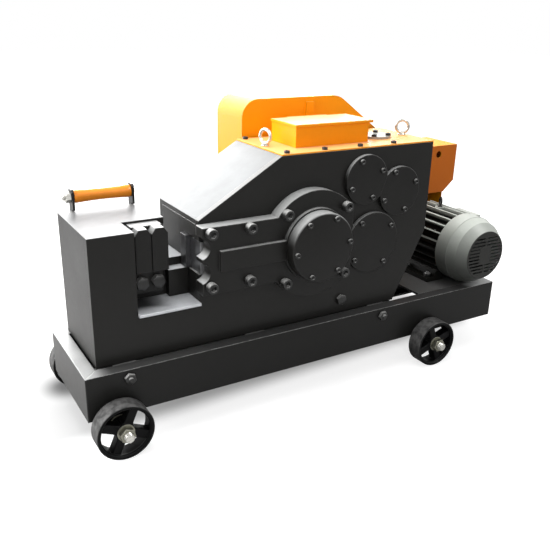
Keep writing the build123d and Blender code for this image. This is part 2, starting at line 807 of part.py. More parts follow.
fin_start = 79
fin_end = 236
end_wall = fin_start + 14
housing = disc(motor_radius, motor, fin_start, fin_end)
fin_width = 4
for k in range(fin_count):
    turn = 360 * k / fin_count
    if 230 <= turn <= 310:
        continue
    foot = reach(motor, (motor_radius + fin_radius) / 2 - 1, turn)
    fin = Pos(*foot) * Rot(0, 0, turn) * Rectangle(fin_radius - motor_radius + 2, fin_width)
    housing += across(fin, fin_start, fin_end)
foot_low = under_flange
foot_near = foot_y[0] - 18
foot_far = foot_y[1] + 18
foot_reach = foot_x[1] - motor_x + 16
housing += block(motor_x - foot_reach, motor_x + foot_reach, foot_near, foot_far, foot_low, foot_low + 12)
for s in (-1, 1):
    brace = Polygon(
        (motor_x + s * 72, foot_low + 6),
        (motor_x + s * 40, foot_low + 6),
        (motor_x + s * 40, motor[1] - 60),
        (motor_x + s * 56, motor[1] - 48),
    )
    housing += across(brace, foot_near, foot_far)
housing -= block(motor_x - 34, motor_x + 34, foot_near, foot_far, foot_low, foot_low + 12)
rotor_bore = 56
housing -= disc(rotor_bore, motor, end_wall, fin_end)
housing -= disc(motor_radius, motor, fin_start, end_wall)
box_near = fin_start + 46
box_far = fin_start + 132
box_low = motor[1] - 6
box_high = motor[1] + 62
box_face = motor_x + fin_radius - 8
saddle = block(motor_x + 60, box_face, box_near + 6, box_far - 6, box_low + 6, box_high - 6)
housing += saddle - disc(rotor_bore + 4, motor, fin_start, fin_end)
housing -= block(box_face, box_face + 40, box_near - 1, box_far + 1, box_low - 12, box_high + 1)
housing -= foot_shanks
motor_eye_y = fin_start + 92
eye_seat = motor[1] + fin_radius - 4
pad = upward(Pos(motor_x, motor_eye_y) * Circle(14), motor[1] + motor_radius - 3, eye_seat)
housing += pad
housing -= upward(Pos(motor_x, motor_eye_y) * Circle(16), eye_seat, eye_seat + 30)
housing -= upward(Pos(motor_x, motor_eye_y) * Circle(5), eye_seat - 14, eye_seat)
bearing_wall = tube(motor_radius - side_play, motor_shaft_radius + running_fit, motor, fin_start, end_wall)
parts["motor_housing"] = group([housing, bearing_wall])

shield_outline = Polygon(
    (motor_shaft_radius + running_fit, 0),
    (fin_radius - 6, 0),
    (fin_radius - 6, 8),
    (46, 18),
    (motor_shaft_radius + running_fit, 18),
)
parts["drive_end_shield"] = lathe(shield_outline, motor, fin_end)

cowl_wall = 2
cowl_knee = motor_front + 27
cowl_seam = fin_start - 41
cowl_outer = Polygon(
    (0, motor_front),
    (grille_radius, motor_front),
    (cowl_radius - 9, cowl_knee),
    (cowl_radius - 1, cowl_seam),
    (cowl_radius, cowl_seam),
    (cowl_radius, fin_start),
    (0, fin_start),
)
cowl_inner = Polygon(
    (0, motor_front + cowl_wall),
    (grille_radius - 2, motor_front + cowl_wall),
    (cowl_radius - 11.5, cowl_knee),
    (cowl_radius - 3.5, cowl_seam),
    (cowl_radius - 3.5, fin_start),
    (0, fin_start),
)
cowl = lathe(cowl_outer, motor, 0) - lathe(cowl_inner, motor, 0)
slot_height = 5
slot_pitch = 9.5
for row in range(-5, 6):
    z = motor[1] + row * slot_pitch
    half_width = math.sqrt((grille_radius - 5) ** 2 - (row * slot_pitch) ** 2)
    clear = 20 if abs(row) < 3 else 3
    for s in (-1, 1):
        middle = motor_x + s * (clear + half_width) / 2
        slot = Pos(middle, z) * Rectangle(half_width - clear, slot_height)
        cowl -= across(slot, motor_front - 1, motor_front + cowl_wall + 1)
parts["fan_cowl"] = cowl

fan_y = motor_front + 34
fan = tube(72, motor_shaft_radius, motor, fan_y + 20, fan_y + 24) + tube(26, motor_shaft_radius, motor, fan_y, fan_y + 20)
for k in range(7):
    blade_middle = reach(motor, 46, 360 * k / 7)
    fan_blade = Pos(*blade_middle) * Rot(0, 0, 360 * k / 7) * Rectangle(44, 4)
    fan += across(fan_blade, fan_y, fan_y + 20)
parts["motor_fan"] = fan
rotor = disc(motor_shaft_radius, motor, fan_y, drive_plane + rim_half)
rotor += disc(rotor_bore - 0.5, motor, fin_start + 26, fin_end - 14)
parts["motor_rotor"] = rotor

box_depth = terminal_box_depth
terminal_box = block(box_face, box_face + box_depth, box_near, box_far, box_low, box_high)
terminal_box -= block(box_face, box_face + box_depth - 4, box_near + 4, box_far - 4, box_low + 4, box_high - 4)
gland_centre = (box_face + box_depth / 2, (box_near + box_far) / 2)
terminal_box += upward(Pos(*gland_centre) * (Circle(11) - Circle(6)), box_low - 12, box_low + 2)
parts["terminal_box"] = terminal_box - upward(Pos(*gland_centre) * Circle(6), box_low - 12, box_low + 6)

# Top: cover plate, oil box with hinged lid, flange plate and lifting eyes

cover_top = deck_z + deck_plate
box_x = deck_front + oil_box_start[0]
box_y = body_near + oil_box_start[1]
box_long, box_wide, box_tall = oil_box_size
box_top = cover_top + box_tall
wall = 4
eye_points = [(deck_front + 17, body_near + 104), (body_rear - 20, body_near + 97)]
row_x = [deck_front + 18 + k * (deck_length - 36) / 4 for k in range(4)]
row_y = (body_near + 11, body_far - 11)
deck_screws = [(x, y) for x in row_x for y in row_y]
box_end = box_x + box_long
flange_centre = (box_end + flange_share * (eye_points[1][0] - box_end), body_near + 102)
flange_screws = [(flange_centre[0] + a * 22, flange_centre[1] + b * 25) for a in (-1, 1) for b in (-1, 1)]
top_cover = block(deck_front, body_rear, body_near, body_far, deck_z, cover_top)
top_cover -= block(box_x + 20, box_x + box_long - 20, box_y + 20, box_y + box_wide - 20, deck_z, cover_top)
eye_holes = [upward(Pos(*p) * Circle(6), deck_z, cover_top) for p in eye_points]
parts["top_cover"] = top_cover - eye_holes

oil_box = block(box_x, box_x + box_long, box_y, box_y + box_wide, cover_top, box_top)
oil_box -= block(
    box_x + wall, box_x + box_long - wall, box_y + wall, box_y + box_wide - wall, cover_top, box_top
)
hinge_y = box_y + box_wide + 5
hinge_z = box_top - 3
knuckle = 4.5
hinge_bore = 2.5
knuckle_spans = [(box_x + 20, box_x + 45), (box_x + box_long - 45, box_x + box_long - 20)]
for x0, x1 in knuckle_spans:
    lug = Pos(hinge_y, hinge_z) * Circle(knuckle) + Pos(hinge_y - 3, hinge_z - 2) * Rectangle(6, 5)
    oil_box += along(lug, x0, x1)
pin_hole = along(Pos(hinge_y, hinge_z) * Circle(hinge_bore), box_x + 18, box_x + box_long - 18)
parts["oil_box"] = oil_box - pin_hole
parts["lid_hinge_pin"] = pin_hole

lid_low = box_top + side_play
lid_high = box_top + 5
lid_x0 = box_x - lid_overhangs[0]
lid_x1 = box_x + box_long + lid_overhangs[1]
lid_y0 = box_y - lid_overhangs[2]
lid_y1 = box_y + box_wide
lid = block(lid_x0, lid_x1, lid_y0, lid_y1, lid_low, lid_high)
lid += block(lid_x0, lid_x1, lid_y0, lid_y0 + 2, lid_high - lid_height, lid_high)
lid += block(lid_x0, lid_x0 + 2, lid_y0, lid_y1, lid_high - lid_height, lid_high)
lid += block(lid_x1 - 2, lid_x1, lid_y0, lid_y1, lid_high - lid_height, lid_high)
leaf_x0 = knuckle_spans[0][1] + side_play
leaf_x1 = knuckle_spans[1][0] - side_play
leaf = Pos(hinge_y, hinge_z) * Circle(knuckle) + Pos(hinge_y - 1.5, hinge_z + 4.75) * Rectangle(9, 6.5)
leaf -= Pos(hinge_y - 10, hinge_z) * Rectangle(11, 7)
lid += along(leaf, leaf_x0, leaf_x1)
parts["oil_box_lid"] = lid - along(Pos(hinge_y, hinge_z) * Circle(hinge_bore + running_fit), leaf_x0, leaf_x1)

flange = upward(Pos(*flange_centre) * Circle(flange_radius), cover_top, cover_top + 6)
parts["flange_plate"] = flange - [upward(Pos(*p) * Circle(4), cover_top, cover_top + 6) for p in flange_screws]


def lifting_eye(x, y, z, size, turn):
    rod = eye_rod * size
    ring = eye_ring * size
    collar = upward(Circle(9.5 * size), 0, eye_collar * size)
    shank = upward(Circle(6 if size == 1 else 5), -deck_plate if size == 1 else -14, 0)
    eye = Pos(0, 0, eye_collar * size + ring + 0.65 * rod) * Rot(90, 0, 0) * Torus(ring, rod)
    return Pos(x, y, z) * Rot(0, 0, turn) * (collar + shank + eye)


eyes = [lifting_eye(*eye_points[0], cover_top, 1, 90), lifting_eye(*eye_points[1], cover_top, 1, -31)]
eyes.append(lifting_eye(motor_x, motor_eye_y, eye_seat, 0.72, 59))
parts["lifting_eyes"] = group(eyes)

# Bar roller on the far edge of the nose block

roller_axis = (body_far + 4, nose_top + 30)
roller_left = nose_front + 38
roller_right = roller_left + roller_length
ear = 5
ear_gap = 1
ear_spans = [(roller_left - ear - ear_gap, roller_left - ear_gap), (roller_right + ear_gap, roller_right + ear_gap + ear)]
roller_bolt = 7
ear_outline = Polygon(
    (body_far, nose_top - 44),
    (body_far + 18, nose_top - 44),
    (body_far + 18, roller_axis[1] + 12),
    (body_far + 13, roller_axis[1] + 17),
    (body_far - 5, roller_axis[1] + 17),
    (body_far - 10, roller_axis[1] + 12),
    (body_far - 10, nose_top + 2),
    (body_far, nose_top + 2),
)
bracket = block(ear_spans[0][0], ear_spans[1][1], body_far, body_far + 6, nose_top - 44, nose_top - 6)
for x0, x1 in ear_spans:
    bracket += along(ear_outline, x0, x1)
bracket -= along(Pos(*roller_axis) * Circle(roller_bolt), roller_left - 20, roller_right + 20)
bracket -= [disc(5, p, body_far, body_far + 6) for p in roller_bolt_points]
parts["roller_bracket"] = bracket
roller_half = roller_length / 2
with BuildSketch() as sleeve_sketch:
    with BuildLine():
        Polyline(
            (roller_end_radius, -roller_half),
            (roller_bolt + running_fit, -roller_half),
            (roller_bolt + running_fit, roller_half),
            (roller_end_radius, roller_half),
        )
        ThreePointArc((roller_end_radius, roller_half), (roller_waist_radius, 0), (roller_end_radius, -roller_half))
    make_face()
sleeve = revolve(sleeve_sketch.sketch, Axis.Y)
parts["bar_roller"] = Pos((roller_left + roller_right) / 2, *roller_axis) * Rot(0, 0, 90) * sleeve
axle_bolt = along(Pos(*roller_axis) * Circle(roller_bolt), ear_spans[0][0] - 18, ear_spans[1][1])
axle_bolt += along(hexagon(22, roller_axis), ear_spans[0][0] - 12, ear_spans[0][0])
axle_bolt += along(Pos(*roller_axis) * Circle(10), ear_spans[1][1], ear_spans[1][1] + 3)
parts["roller_axle"] = axle_bolt

# Screws, bolts and the drain plug

screws = []
for p in crank_screw_points:
    screws.append(disc(4, p, cover_near, cover_seat + 14) + disc(6.5, p, cover_near - 5, cover_near))
for p in cover_screw_points:
    screws.append(disc(4, p, cover_front, body_near + 12) + disc(6.5, p, cover_front - 5, cover_front))
for p in far_screw_points:
    screws.append(disc(4, p, body_far - 12, body_far + 8) + disc(6.5, p, body_far + 8, body_far + 11))
for p in deck_screws:
    screws.append(upward(Pos(*p) * Circle(6.5), cover_top, cover_top + 6))
for p in flange_screws:
    screws.append(upward(Pos(*p) * Circle(6.5), cover_top + 6, cover_top + 12)
                  + upward(Pos(*p) * Circle(4), cover_top, cover_top + 6))
parts["cover_screws"] = group(screws)

hexes = []
for p in frame_bolts:
    hexes.append(disc(6, p, 0, rail_wall + 20) + across(hexagon(frame_bolt_across, p), -8, 0))
    far_head = across(hexagon(frame_bolt_across, p), base_width, base_width + 8)
    hexes.append(disc(6, p, base_width - rail_wall - 20, base_width) + far_head)
for p in clamp_bolts:
    head = across(hexagon(26, p), shear_y - 42, shear_y - 28)
    hexes.append(disc(8, p, shear_y - 28, shear_y + 24) + head)
for x, y in foot_bolts:
    shank = upward(Pos(x, y) * Circle(5), under_flange - 6, under_flange + 12)
    hexes.append(shank + upward(hexagon(17, (x, y)), under_flange + 12, under_flange + 20))
for p in guard_stud_points:
    head = across(hexagon(17, p), guard_near + guard_sheet, guard_near + guard_sheet + 7)
    hexes.append(disc(5, p, body_far - 12, guard_near + guard_sheet) + head)
for p in roller_bolt_points:
    hexes.append(disc(5, p, body_far - 12, body_far + 6) + across(hexagon(17, p), body_far + 6, body_far + 13))
hexes.append(disc(9, drain, body_near, inner_near) + across(hexagon(24, drain), body_near - 9, body_near))
parts["hex_bolts"] = group(hexes)

# Stand the machine centred on the floor and write one file per piece

near_end = -axle_overhang
stand = Location((-guard_rear / 2, -(near_end + guard_far) / 2, wheel_radius + axle_drop))
for name, piece in parts.items():
    export_step(piece.moved(stand), f"parts/{name}.step")
print(len(parts), "pieces written")
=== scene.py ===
# Rebar cutting machine dressed for rendering: camera, light, finishes and the small pieces the CAD leaves plain
import json
import math

import bmesh
import bpy
import numpy as np
from mathutils import Matrix, Vector


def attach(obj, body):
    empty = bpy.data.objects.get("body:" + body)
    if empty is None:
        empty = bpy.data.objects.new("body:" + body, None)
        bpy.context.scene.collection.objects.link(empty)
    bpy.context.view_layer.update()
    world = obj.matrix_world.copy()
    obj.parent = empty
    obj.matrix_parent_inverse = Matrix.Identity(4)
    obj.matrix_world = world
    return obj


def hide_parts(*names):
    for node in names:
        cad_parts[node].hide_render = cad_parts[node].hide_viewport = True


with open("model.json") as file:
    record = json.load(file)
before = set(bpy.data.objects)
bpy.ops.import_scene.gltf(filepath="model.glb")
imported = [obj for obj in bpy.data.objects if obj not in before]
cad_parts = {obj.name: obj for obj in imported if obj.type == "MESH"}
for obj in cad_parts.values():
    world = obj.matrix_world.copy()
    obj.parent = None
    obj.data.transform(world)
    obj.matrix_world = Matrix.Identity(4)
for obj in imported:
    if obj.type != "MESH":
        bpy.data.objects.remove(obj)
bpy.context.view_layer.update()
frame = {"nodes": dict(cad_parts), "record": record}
nodes = frame["nodes"]
scene = bpy.context.scene
mm = 0.001
origin = np.array([-612.0, -160.0, 80.5])  # bench corner to the shared frame, in millimetres

print("stage: frame loaded,", len(nodes), "nodes")


def onBench(x, y, z):
    return (np.array([x, y, z], float) + origin) * mm


# camera, fitted to the photograph; the eye is in bench millimetres
cameraSet = {"eye": (-306.543, -1221.605, 797.435), "azimuth": -31.415, "elevation": 21.003, "roll": 1.406,
             "lens": 44.92, "sensor": 36.0, "reach": 60.0}


def makeCamera(spec):
    az, el, roll = (math.radians(spec[k]) for k in ("azimuth", "elevation", "roll"))
    back = Vector((math.sin(az) * math.cos(el), -math.cos(az) * math.cos(el), math.sin(el)))
    level = Vector((math.cos(az), math.sin(az), 0.0))
    rise = back.cross(level)
    right = level * math.cos(roll) + rise * math.sin(roll)
    up = rise * math.cos(roll) - level * math.sin(roll)
    data = bpy.data.cameras.new("studioCamera")
    data.lens = spec["lens"]
    data.sensor_width = spec["sensor"]
    data.clip_end = spec["reach"]
    cam = bpy.data.objects.new("studioCamera", data)
    turn = Matrix((right, up, back)).transposed().to_4x4()
    cam.matrix_world = Matrix.Translation(Vector(onBench(*spec["eye"]))) @ turn
    scene.collection.objects.link(cam)
    scene.camera = cam


makeCamera(cameraSet)


# node helpers: a socket given as a value is linked, anything else is set on the socket
def addNode(tree, kind, ins=None, **props):
    node = tree.nodes.new(kind)
    for key, value in props.items():
        setattr(node, key, value)
    for key, value in (ins or {}).items():
        if isinstance(value, bpy.types.NodeSocket):
            tree.links.new(value, node.inputs[key])
        else:
            node.inputs[key].default_value = value
    return node


def sums(tree, kind, a, b=0.0):
    return addNode(tree, "ShaderNodeMath", {0: a, 1: b}, operation=kind).outputs[0]


def times(tree, first, *others):
    for other in others:
        first = sums(tree, "MULTIPLY", first, other)
    return first


def vectors(tree, kind, a, b=(0.0, 0.0, 0.0)):
    return addNode(tree, "ShaderNodeVectorMath", {0: a, 1: b}, operation=kind).outputs


def objectPlace(tree):
    return addNode(tree, "ShaderNodeTexCoord").outputs["Object"]


def axesOf(tree, value):
    return addNode(tree, "ShaderNodeSeparateXYZ", {0: value}).outputs


def faceAxes(tree):
    # where a face looks, as x, y and z
    return axesOf(tree, addNode(tree, "ShaderNodeNewGeometry").outputs["Normal"])


def blendColour(tree, factor, a, b):
    return addNode(tree, "ShaderNodeMix", {0: factor, 6: a, 7: b}, data_type="RGBA").outputs[2]


def ramp(tree, value, low, high, toLow=0.0, toHigh=1.0):
    ins = {"Value": value, "From Min": low, "From Max": high, "To Min": toLow, "To Max": toHigh}
    return addNode(tree, "ShaderNodeMapRange", ins, interpolation_type="SMOOTHSTEP").outputs["Result"]


def rgba(shade):
    return (*shade, 1.0)


# white studio: sky and a pale floor that keeps the shadow, with a painted shadow added close to the machine, in metres
studioSet = {
    "sky": 0.58, "seenSky": 1.0, "floorHalf": 14.0, "floorTone": 0.5, "farLift": 0.75,
    "shadeTone": 0.36, "nearLift": 0.25, "shadeMiddle": -0.06, "shadeHalf": 0.615, "shadeWidth": 0.078,
    "nearEdge": -0.027, "slant": 0.05, "farEdge": 0.2, "farSoft": 0.45,
    "shadowSpot": (-0.57, 0.15, 0.0), "shadowSpotReach": (0.02, 0.09), "shadowSpotTone": 0.3,
}
# soft panels: glow is their radiance, fill lights matt surfaces and gloss shows in shiny ones
panelSet = {
    "backPanel": {"place": (0.9, 2.3, 1.7), "aim": (0.0, 0.0, 0.45), "size": (2.8, 1.4),
                  "glow": 1.6, "fill": True, "gloss": True},
    "keyPanel": {"place": (-0.5, 0.55, 3.2), "aim": (0.0, 0.0, 0.3), "size": (2.2, 1.8),
                 "glow": 7.0, "fill": True, "gloss": False},
    "sheenPanel": {"place": (0.35, 2.35, 1.35), "aim": (0.35, 0.0, 1.35), "size": (3.3, 2.4),
                   "glow": 9.5, "fill": False, "gloss": True},
    "crownPanel": {"place": (1.5, -1.05, 2.8), "aim": (0.0, 0.0, 0.45), "size": (1.5, 1.0),
                   "glow": 12.0, "fill": False, "gloss": True},
    "leftPanel": {"place": (-2.5, 0.75, 1.45), "aim": (-0.3, 0.0, 0.3), "size": (1.9, 1.9),
                  "glow": 8.0, "fill": True, "gloss": True},
    "leftFill": {"place": (-2.6, 0.1, 1.5), "aim": (0.0, 0.0, 0.45), "size": (1.5, 1.5),
                 "glow": 4.6, "fill": True, "gloss": False},
    "frontPanel": {"place": (-0.6, -2.7, 2.3), "aim": (0.0, 0.0, 0.3), "size": (2.2, 1.6),
                   "glow": 1.45, "fill": True, "gloss": True},
}


def makePanel(name, spec):
    data = bpy.data.lights.new(name, "AREA")
    data.shape = "RECTANGLE"
    data.size, data.size_y = spec["size"]
    data.energy = spec["glow"] * math.pi * spec["size"][0] * spec["size"][1]
    lamp = bpy.data.objects.new(name, data)
    lamp.location = spec["place"]
    lamp.rotation_euler = (Vector(spec["aim"]) - lamp.location).to_track_quat("-Z", "Y").to_euler()
    lamp.visible_camera = False
    lamp.visible_diffuse = spec["fill"]
    lamp.visible_glossy = spec["gloss"]
    scene.collection.objects.link(lamp)


def makeSky(spec):
    # white to the camera, in mirrors and through glass, dimmer as a light
    world = bpy.data.worlds.new("studioSky")
    scene.world = world
    world.use_nodes = True
    tree = world.node_tree
    path = addNode(tree, "ShaderNodeLightPath").outputs
    mirrored = sums(tree, "MAXIMUM", path["Is Camera Ray"], path["Is Glossy Ray"])
    seen = sums(tree, "MAXIMUM", mirrored, path["Is Transmission Ray"])
    strength = addNode(tree, "ShaderNodeMapRange", {"Value": seen, "To Min": spec["sky"], "To Max": spec["seenSky"]})
    background = tree.nodes["Background"]
    background.inputs["Color"].default_value = rgba((1.0, 1.0, 1.0))
    tree.links.new(strength.outputs["Result"], background.inputs["Strength"])


def makeFloor(spec):
    half = spec["floorHalf"]
    mesh = bpy.data.meshes.new("studioFloor")
    corners = [(-half, -half, 0.0), (half, -half, 0.0), (half, half, 0.0), (-half, half, 0.0)]
    mesh.from_pydata(corners, [], [(0, 1, 2, 3)])
    floor = bpy.data.objects.new("studioFloor", mesh)
    scene.collection.objects.link(floor)
    material = bpy.data.materials.new("paleFloor")
    material.use_nodes = True
    tree = material.node_tree
    tree.nodes.clear()
    output = addNode(tree, "ShaderNodeOutputMaterial")
    # the floor is lifted to white away from the machine, for camera rays; close to the machine the lift and the floor's
    # tone are lowered in a soft-edged box, a painted shadow over the real one
    place = objectPlace(tree)
    axes = axesOf(tree, place)
    fromMiddle = sums(tree, "ABSOLUTE", sums(tree, "SUBTRACT", axes["X"], spec["shadeMiddle"]))
    ends = sums(tree, "SUBTRACT", fromMiddle, spec["shadeHalf"])
    near = sums(tree, "ADD", sums(tree, "SUBTRACT", spec["nearEdge"], axes["Y"]), times(tree, axes["X"], spec["slant"]))
    far = times(tree, sums(tree, "SUBTRACT", axes["Y"], spec["farEdge"]), spec["farSoft"])
    past = addNode(tree, "ShaderNodeCombineXYZ", {0: ends, 1: near, 2: far}).outputs[0]
    away = vectors(tree, "LENGTH", vectors(tree, "MAXIMUM", past)["Vector"])["Value"]
    # a painted shadow darkens a spot by the far front wheel
    toShadowSpot = vectors(tree, "DISTANCE", place, spec["shadowSpot"])["Value"]
    shadowSpot = ramp(tree, toShadowSpot, *spec["shadowSpotReach"], spec["shadowSpotTone"], 1.0)
    lift = times(tree, shadowSpot, ramp(tree, away, 0.0, spec["shadeWidth"], spec["nearLift"], spec["farLift"]))
    tone = times(tree, shadowSpot, ramp(tree, away, 0.0, spec["shadeWidth"], spec["shadeTone"], spec["floorTone"]))
    grey = addNode(tree, "ShaderNodeCombineXYZ", {0: tone, 1: tone, 2: tone}).outputs[0]
    plain = addNode(tree, "ShaderNodeBsdfDiffuse", {"Color": grey}).outputs[0]
    seen = addNode(tree, "ShaderNodeLightPath").outputs["Is Camera Ray"]
    glow = addNode(tree, "ShaderNodeEmission", {"Strength": times(tree, seen, lift)}).outputs[0]
    both = addNode(tree, "ShaderNodeAddShader", {0: plain, 1: glow}).outputs[0]
    tree.links.new(both, output.inputs["Surface"])
    mesh.materials.append(material)


makeSky(studioSet)
makeFloor(studioSet)
for panelName, panelSpec in panelSet.items():
    makePanel(panelName, panelSpec)
scene.view_settings.view_transform = "Standard"
print("stage: camera and studio")

# shared effects, each a node group that is built once
number, vector = "NodeSocketFloat", "NodeSocketVector"


def startGroup(name, inputs, outputs):
    tree = bpy.data.node_groups.new(name, "ShaderNodeTree")
    for label, kind in inputs.items():
        tree.interface.new_socket(name=label, in_out="INPUT", socket_type=kind)
    for label, kind in outputs.items():
        tree.interface.new_socket(name=label, in_out="OUTPUT", socket_type=kind)
    return tree, addNode(tree, "NodeGroupInput").outputs, addNode(tree, "NodeGroupOutput").inputs


def noise(tree, place, scale, detail=3.0, rough=0.55):
    ins = {"Vector": place, "Scale": scale, "Detail": detail, "Roughness": rough}
    return addNode(tree, "ShaderNodeTexNoise", ins).outputs["Fac"]


def swing(tree, *fineness):
    # noise about nought
    return sums(tree, "SUBTRACT", noise(tree, *fineness), 0.5)


rubAndHighlightSet = {"samples": 6, "bent": (0.01, 0.22), "patch": (55.0, 5.0), "patchy": (0.30, 0.62, 0.3, 1.0),
          "litFacing": (-0.05, 0.65, 0.05, 1.0)}


def makeRubAndHighlightGroup(spec):
    # edge wear with a painted highlight: where a rounded edge would turn the surface from its flat normal, more on
    # edges that look up, as light falls on them from above, broken by noise
    tree, ins, outs = startGroup("edgeRubAndHighlight", {"Width": number, "Amount": number}, {"Mask": number, "Round": vector})
    soft = addNode(tree, "ShaderNodeBevel", {"Radius": ins["Width"]}, samples=spec["samples"]).outputs[0]
    flat = addNode(tree, "ShaderNodeNewGeometry").outputs["Normal"]
    agree = vectors(tree, "DOT_PRODUCT", soft, flat)["Value"]
    bent = ramp(tree, sums(tree, "SUBTRACT", 1.0, agree), *spec["bent"])
    patchy = ramp(tree, noise(tree, objectPlace(tree), *spec["patch"]), *spec["patchy"])
    litFacing = ramp(tree, axesOf(tree, soft)["Z"], *spec["litFacing"])
    tree.links.new(times(tree, bent, patchy, litFacing, ins["Amount"]), outs["Mask"])
    tree.links.new(soft, outs["Round"])
    return tree


skinSet = {"broad": (7.0, 4.0), "fine": (90.0, 4.0), "fineShare": 0.45, "peelDetail": 2.0, "grain": (160.0, 2.0),
           "grainShare": 0.8}


def makePaintGroup(spec):
    # broad and fine mottling of the tone, gloss that drifts with it and an orange-peel height
    inputs = {"Mottle": number, "Rough": number, "Drift": number, "Peel": number}
    tree, ins, outs = startGroup("paintSkin", inputs, {"Tone": number, "Roughness": number, "Height": number})
    place = objectPlace(tree)
    fine = times(tree, swing(tree, place, *spec["fine"]), spec["fineShare"])
    mixed = sums(tree, "ADD", swing(tree, place, *spec["broad"]), fine)
    tree.links.new(sums(tree, "ADD", times(tree, mixed, ins["Mottle"]), 1.0), outs["Tone"])
    tree.links.new(sums(tree, "ADD", times(tree, mixed, ins["Drift"]), ins["Rough"]), outs["Roughness"])
    grain = times(tree, noise(tree, place, *spec["grain"]), spec["grainShare"])
    tree.links.new(sums(tree, "ADD", noise(tree, place, ins["Peel"], spec["peelDetail"]), grain), outs["Height"])
    return tree


dustAndPaintedLightSet = {"cloud": (16.0, 6.0, 0.65), "cloudy": (0.32, 0.7, 0.82, 1.0), "lying": (0.1, 0.9)}


def makeDustAndPaintedLightGroup(spec):
    # settled dust and handling wear on faces that look up, in clouds; the same mask also paints the top light and sheen
    # on those faces
    tree, ins, outs = startGroup("dustAndPaintedTopLight", {"Amount": number}, {"Mask": number})
    cloud = ramp(tree, noise(tree, objectPlace(tree), *spec["cloud"]), *spec["cloudy"])
    lying = ramp(tree, faceAxes(tree)["Z"], *spec["lying"])
    tree.links.new(times(tree, cloud, lying, ins["Amount"]), outs["Mask"])
    return tree


drawnSet = {"stretch": (30.0, 420.0, 420.0), "line": (3.0, 3.0), "lineShare": 0.5, "stain": (48.0, 5.0, 0.6)}


def makeMetalGroup(spec):
    # fine drawn lines and stains on bare metal
    inputs = {"Rough": number, "Drift": number, "Stain": number}
    tree, ins, outs = startGroup("metalSkin", inputs, {"Tone": number, "Roughness": number, "Height": number})
    place = objectPlace(tree)
    drawn = addNode(tree, "ShaderNodeMapping", {"Vector": place, "Scale": spec["stretch"]}).outputs[0]
    line = swing(tree, drawn, *spec["line"])
    both = sums(tree, "ADD", times(tree, line, spec["lineShare"]), swing(tree, place, *spec["stain"]))
    tree.links.new(sums(tree, "ADD", times(tree, both, ins["Stain"]), 1.0), outs["Tone"])
    tree.links.new(sums(tree, "ADD", times(tree, both, ins["Drift"]), ins["Rough"]), outs["Roughness"])
    tree.links.new(line, outs["Height"])
    return tree


castSet = {"grain": (4.0, 0.6), "pitScale": 260.0, "pit": (0.0, 0.45), "pitShare": 0.35, "tone": (0.9, 0.55)}


def makeCastGroup(spec):
    # sand-cast skin: coarse pits over fine grain
    tree, ins, outs = startGroup("castSkin", {"Grain": number}, {"Tone": number, "Height": number})
    place = objectPlace(tree)
    grain = noise(tree, place, ins["Grain"], *spec["grain"])
    pits = addNode(tree, "ShaderNodeTexVoronoi", {"Vector": place, "Scale": spec["pitScale"]}).outputs["Distance"]
    swell, base = spec["tone"]
    tree.links.new(sums(tree, "ADD", times(tree, grain, swell), base), outs["Tone"])
    sunk = times(tree, ramp(tree, pits, *spec["pit"]), spec["pitShare"])
    tree.links.new(sums(tree, "ADD", grain, sunk), outs["Height"])
    return tree


effects = {
    "rubAndHighlight": makeRubAndHighlightGroup(rubAndHighlightSet),
    "paint": makePaintGroup(skinSet),
    "dustAndPaintedLight": makeDustAndPaintedLightGroup(dustAndPaintedLightSet),
    "metal": makeMetalGroup(drawnSet),
    "cast": makeCastGroup(castSet),
}


def startFinish(name):
    material = bpy.data.materials.new(name)
    material.use_nodes = True
    tree = material.node_tree
    return material, tree, tree.nodes["Principled BSDF"]


def useEffect(tree, name, **values):
    node = addNode(tree, "ShaderNodeGroup", node_tree=effects[name])
    for key, value in values.items():
        node.inputs[key].default_value = value
    return node.outputs


def useSkin(tree, spec):
    return useEffect(tree, "paint", Mottle=spec["mottle"], Rough=spec["rough"], Drift=spec["drift"], Peel=spec["peel"])


def useRubAndHighlight(tree, spec):
    return useEffect(tree, "rubAndHighlight", Width=spec["edge"], Amount=spec["rubAndHighlight"])


def tinted(tree, base, tone):
    ins = {0: base, "Scale": tone}
    return addNode(tree, "ShaderNodeVectorMath", ins, operation="SCALE").outputs["Vector"]


def fadeAlong(tree, axis, start, end, toStart, toEnd):
    # a value that runs from one bench position to another along an axis
    shift = origin["XYZ".index(axis)]
    along = axesOf(tree, objectPlace(tree))[axis]
    return ramp(tree, along, (start + shift) * mm, (end + shift) * mm, toStart, toEnd)


def keptWhere(tree, spans):
    # the larger of the first and last fade
    values = [fadeAlong(tree, *span) for span in spans]
    return sums(tree, "MAXIMUM", values[0], values[-1])


def lifted(tree, height, normal, strength, depth):
    ins = {"Height": height, "Normal": normal, "Strength": strength, "Distance": depth}
    return addNode(tree, "ShaderNodeBump", ins).outputs["Normal"]
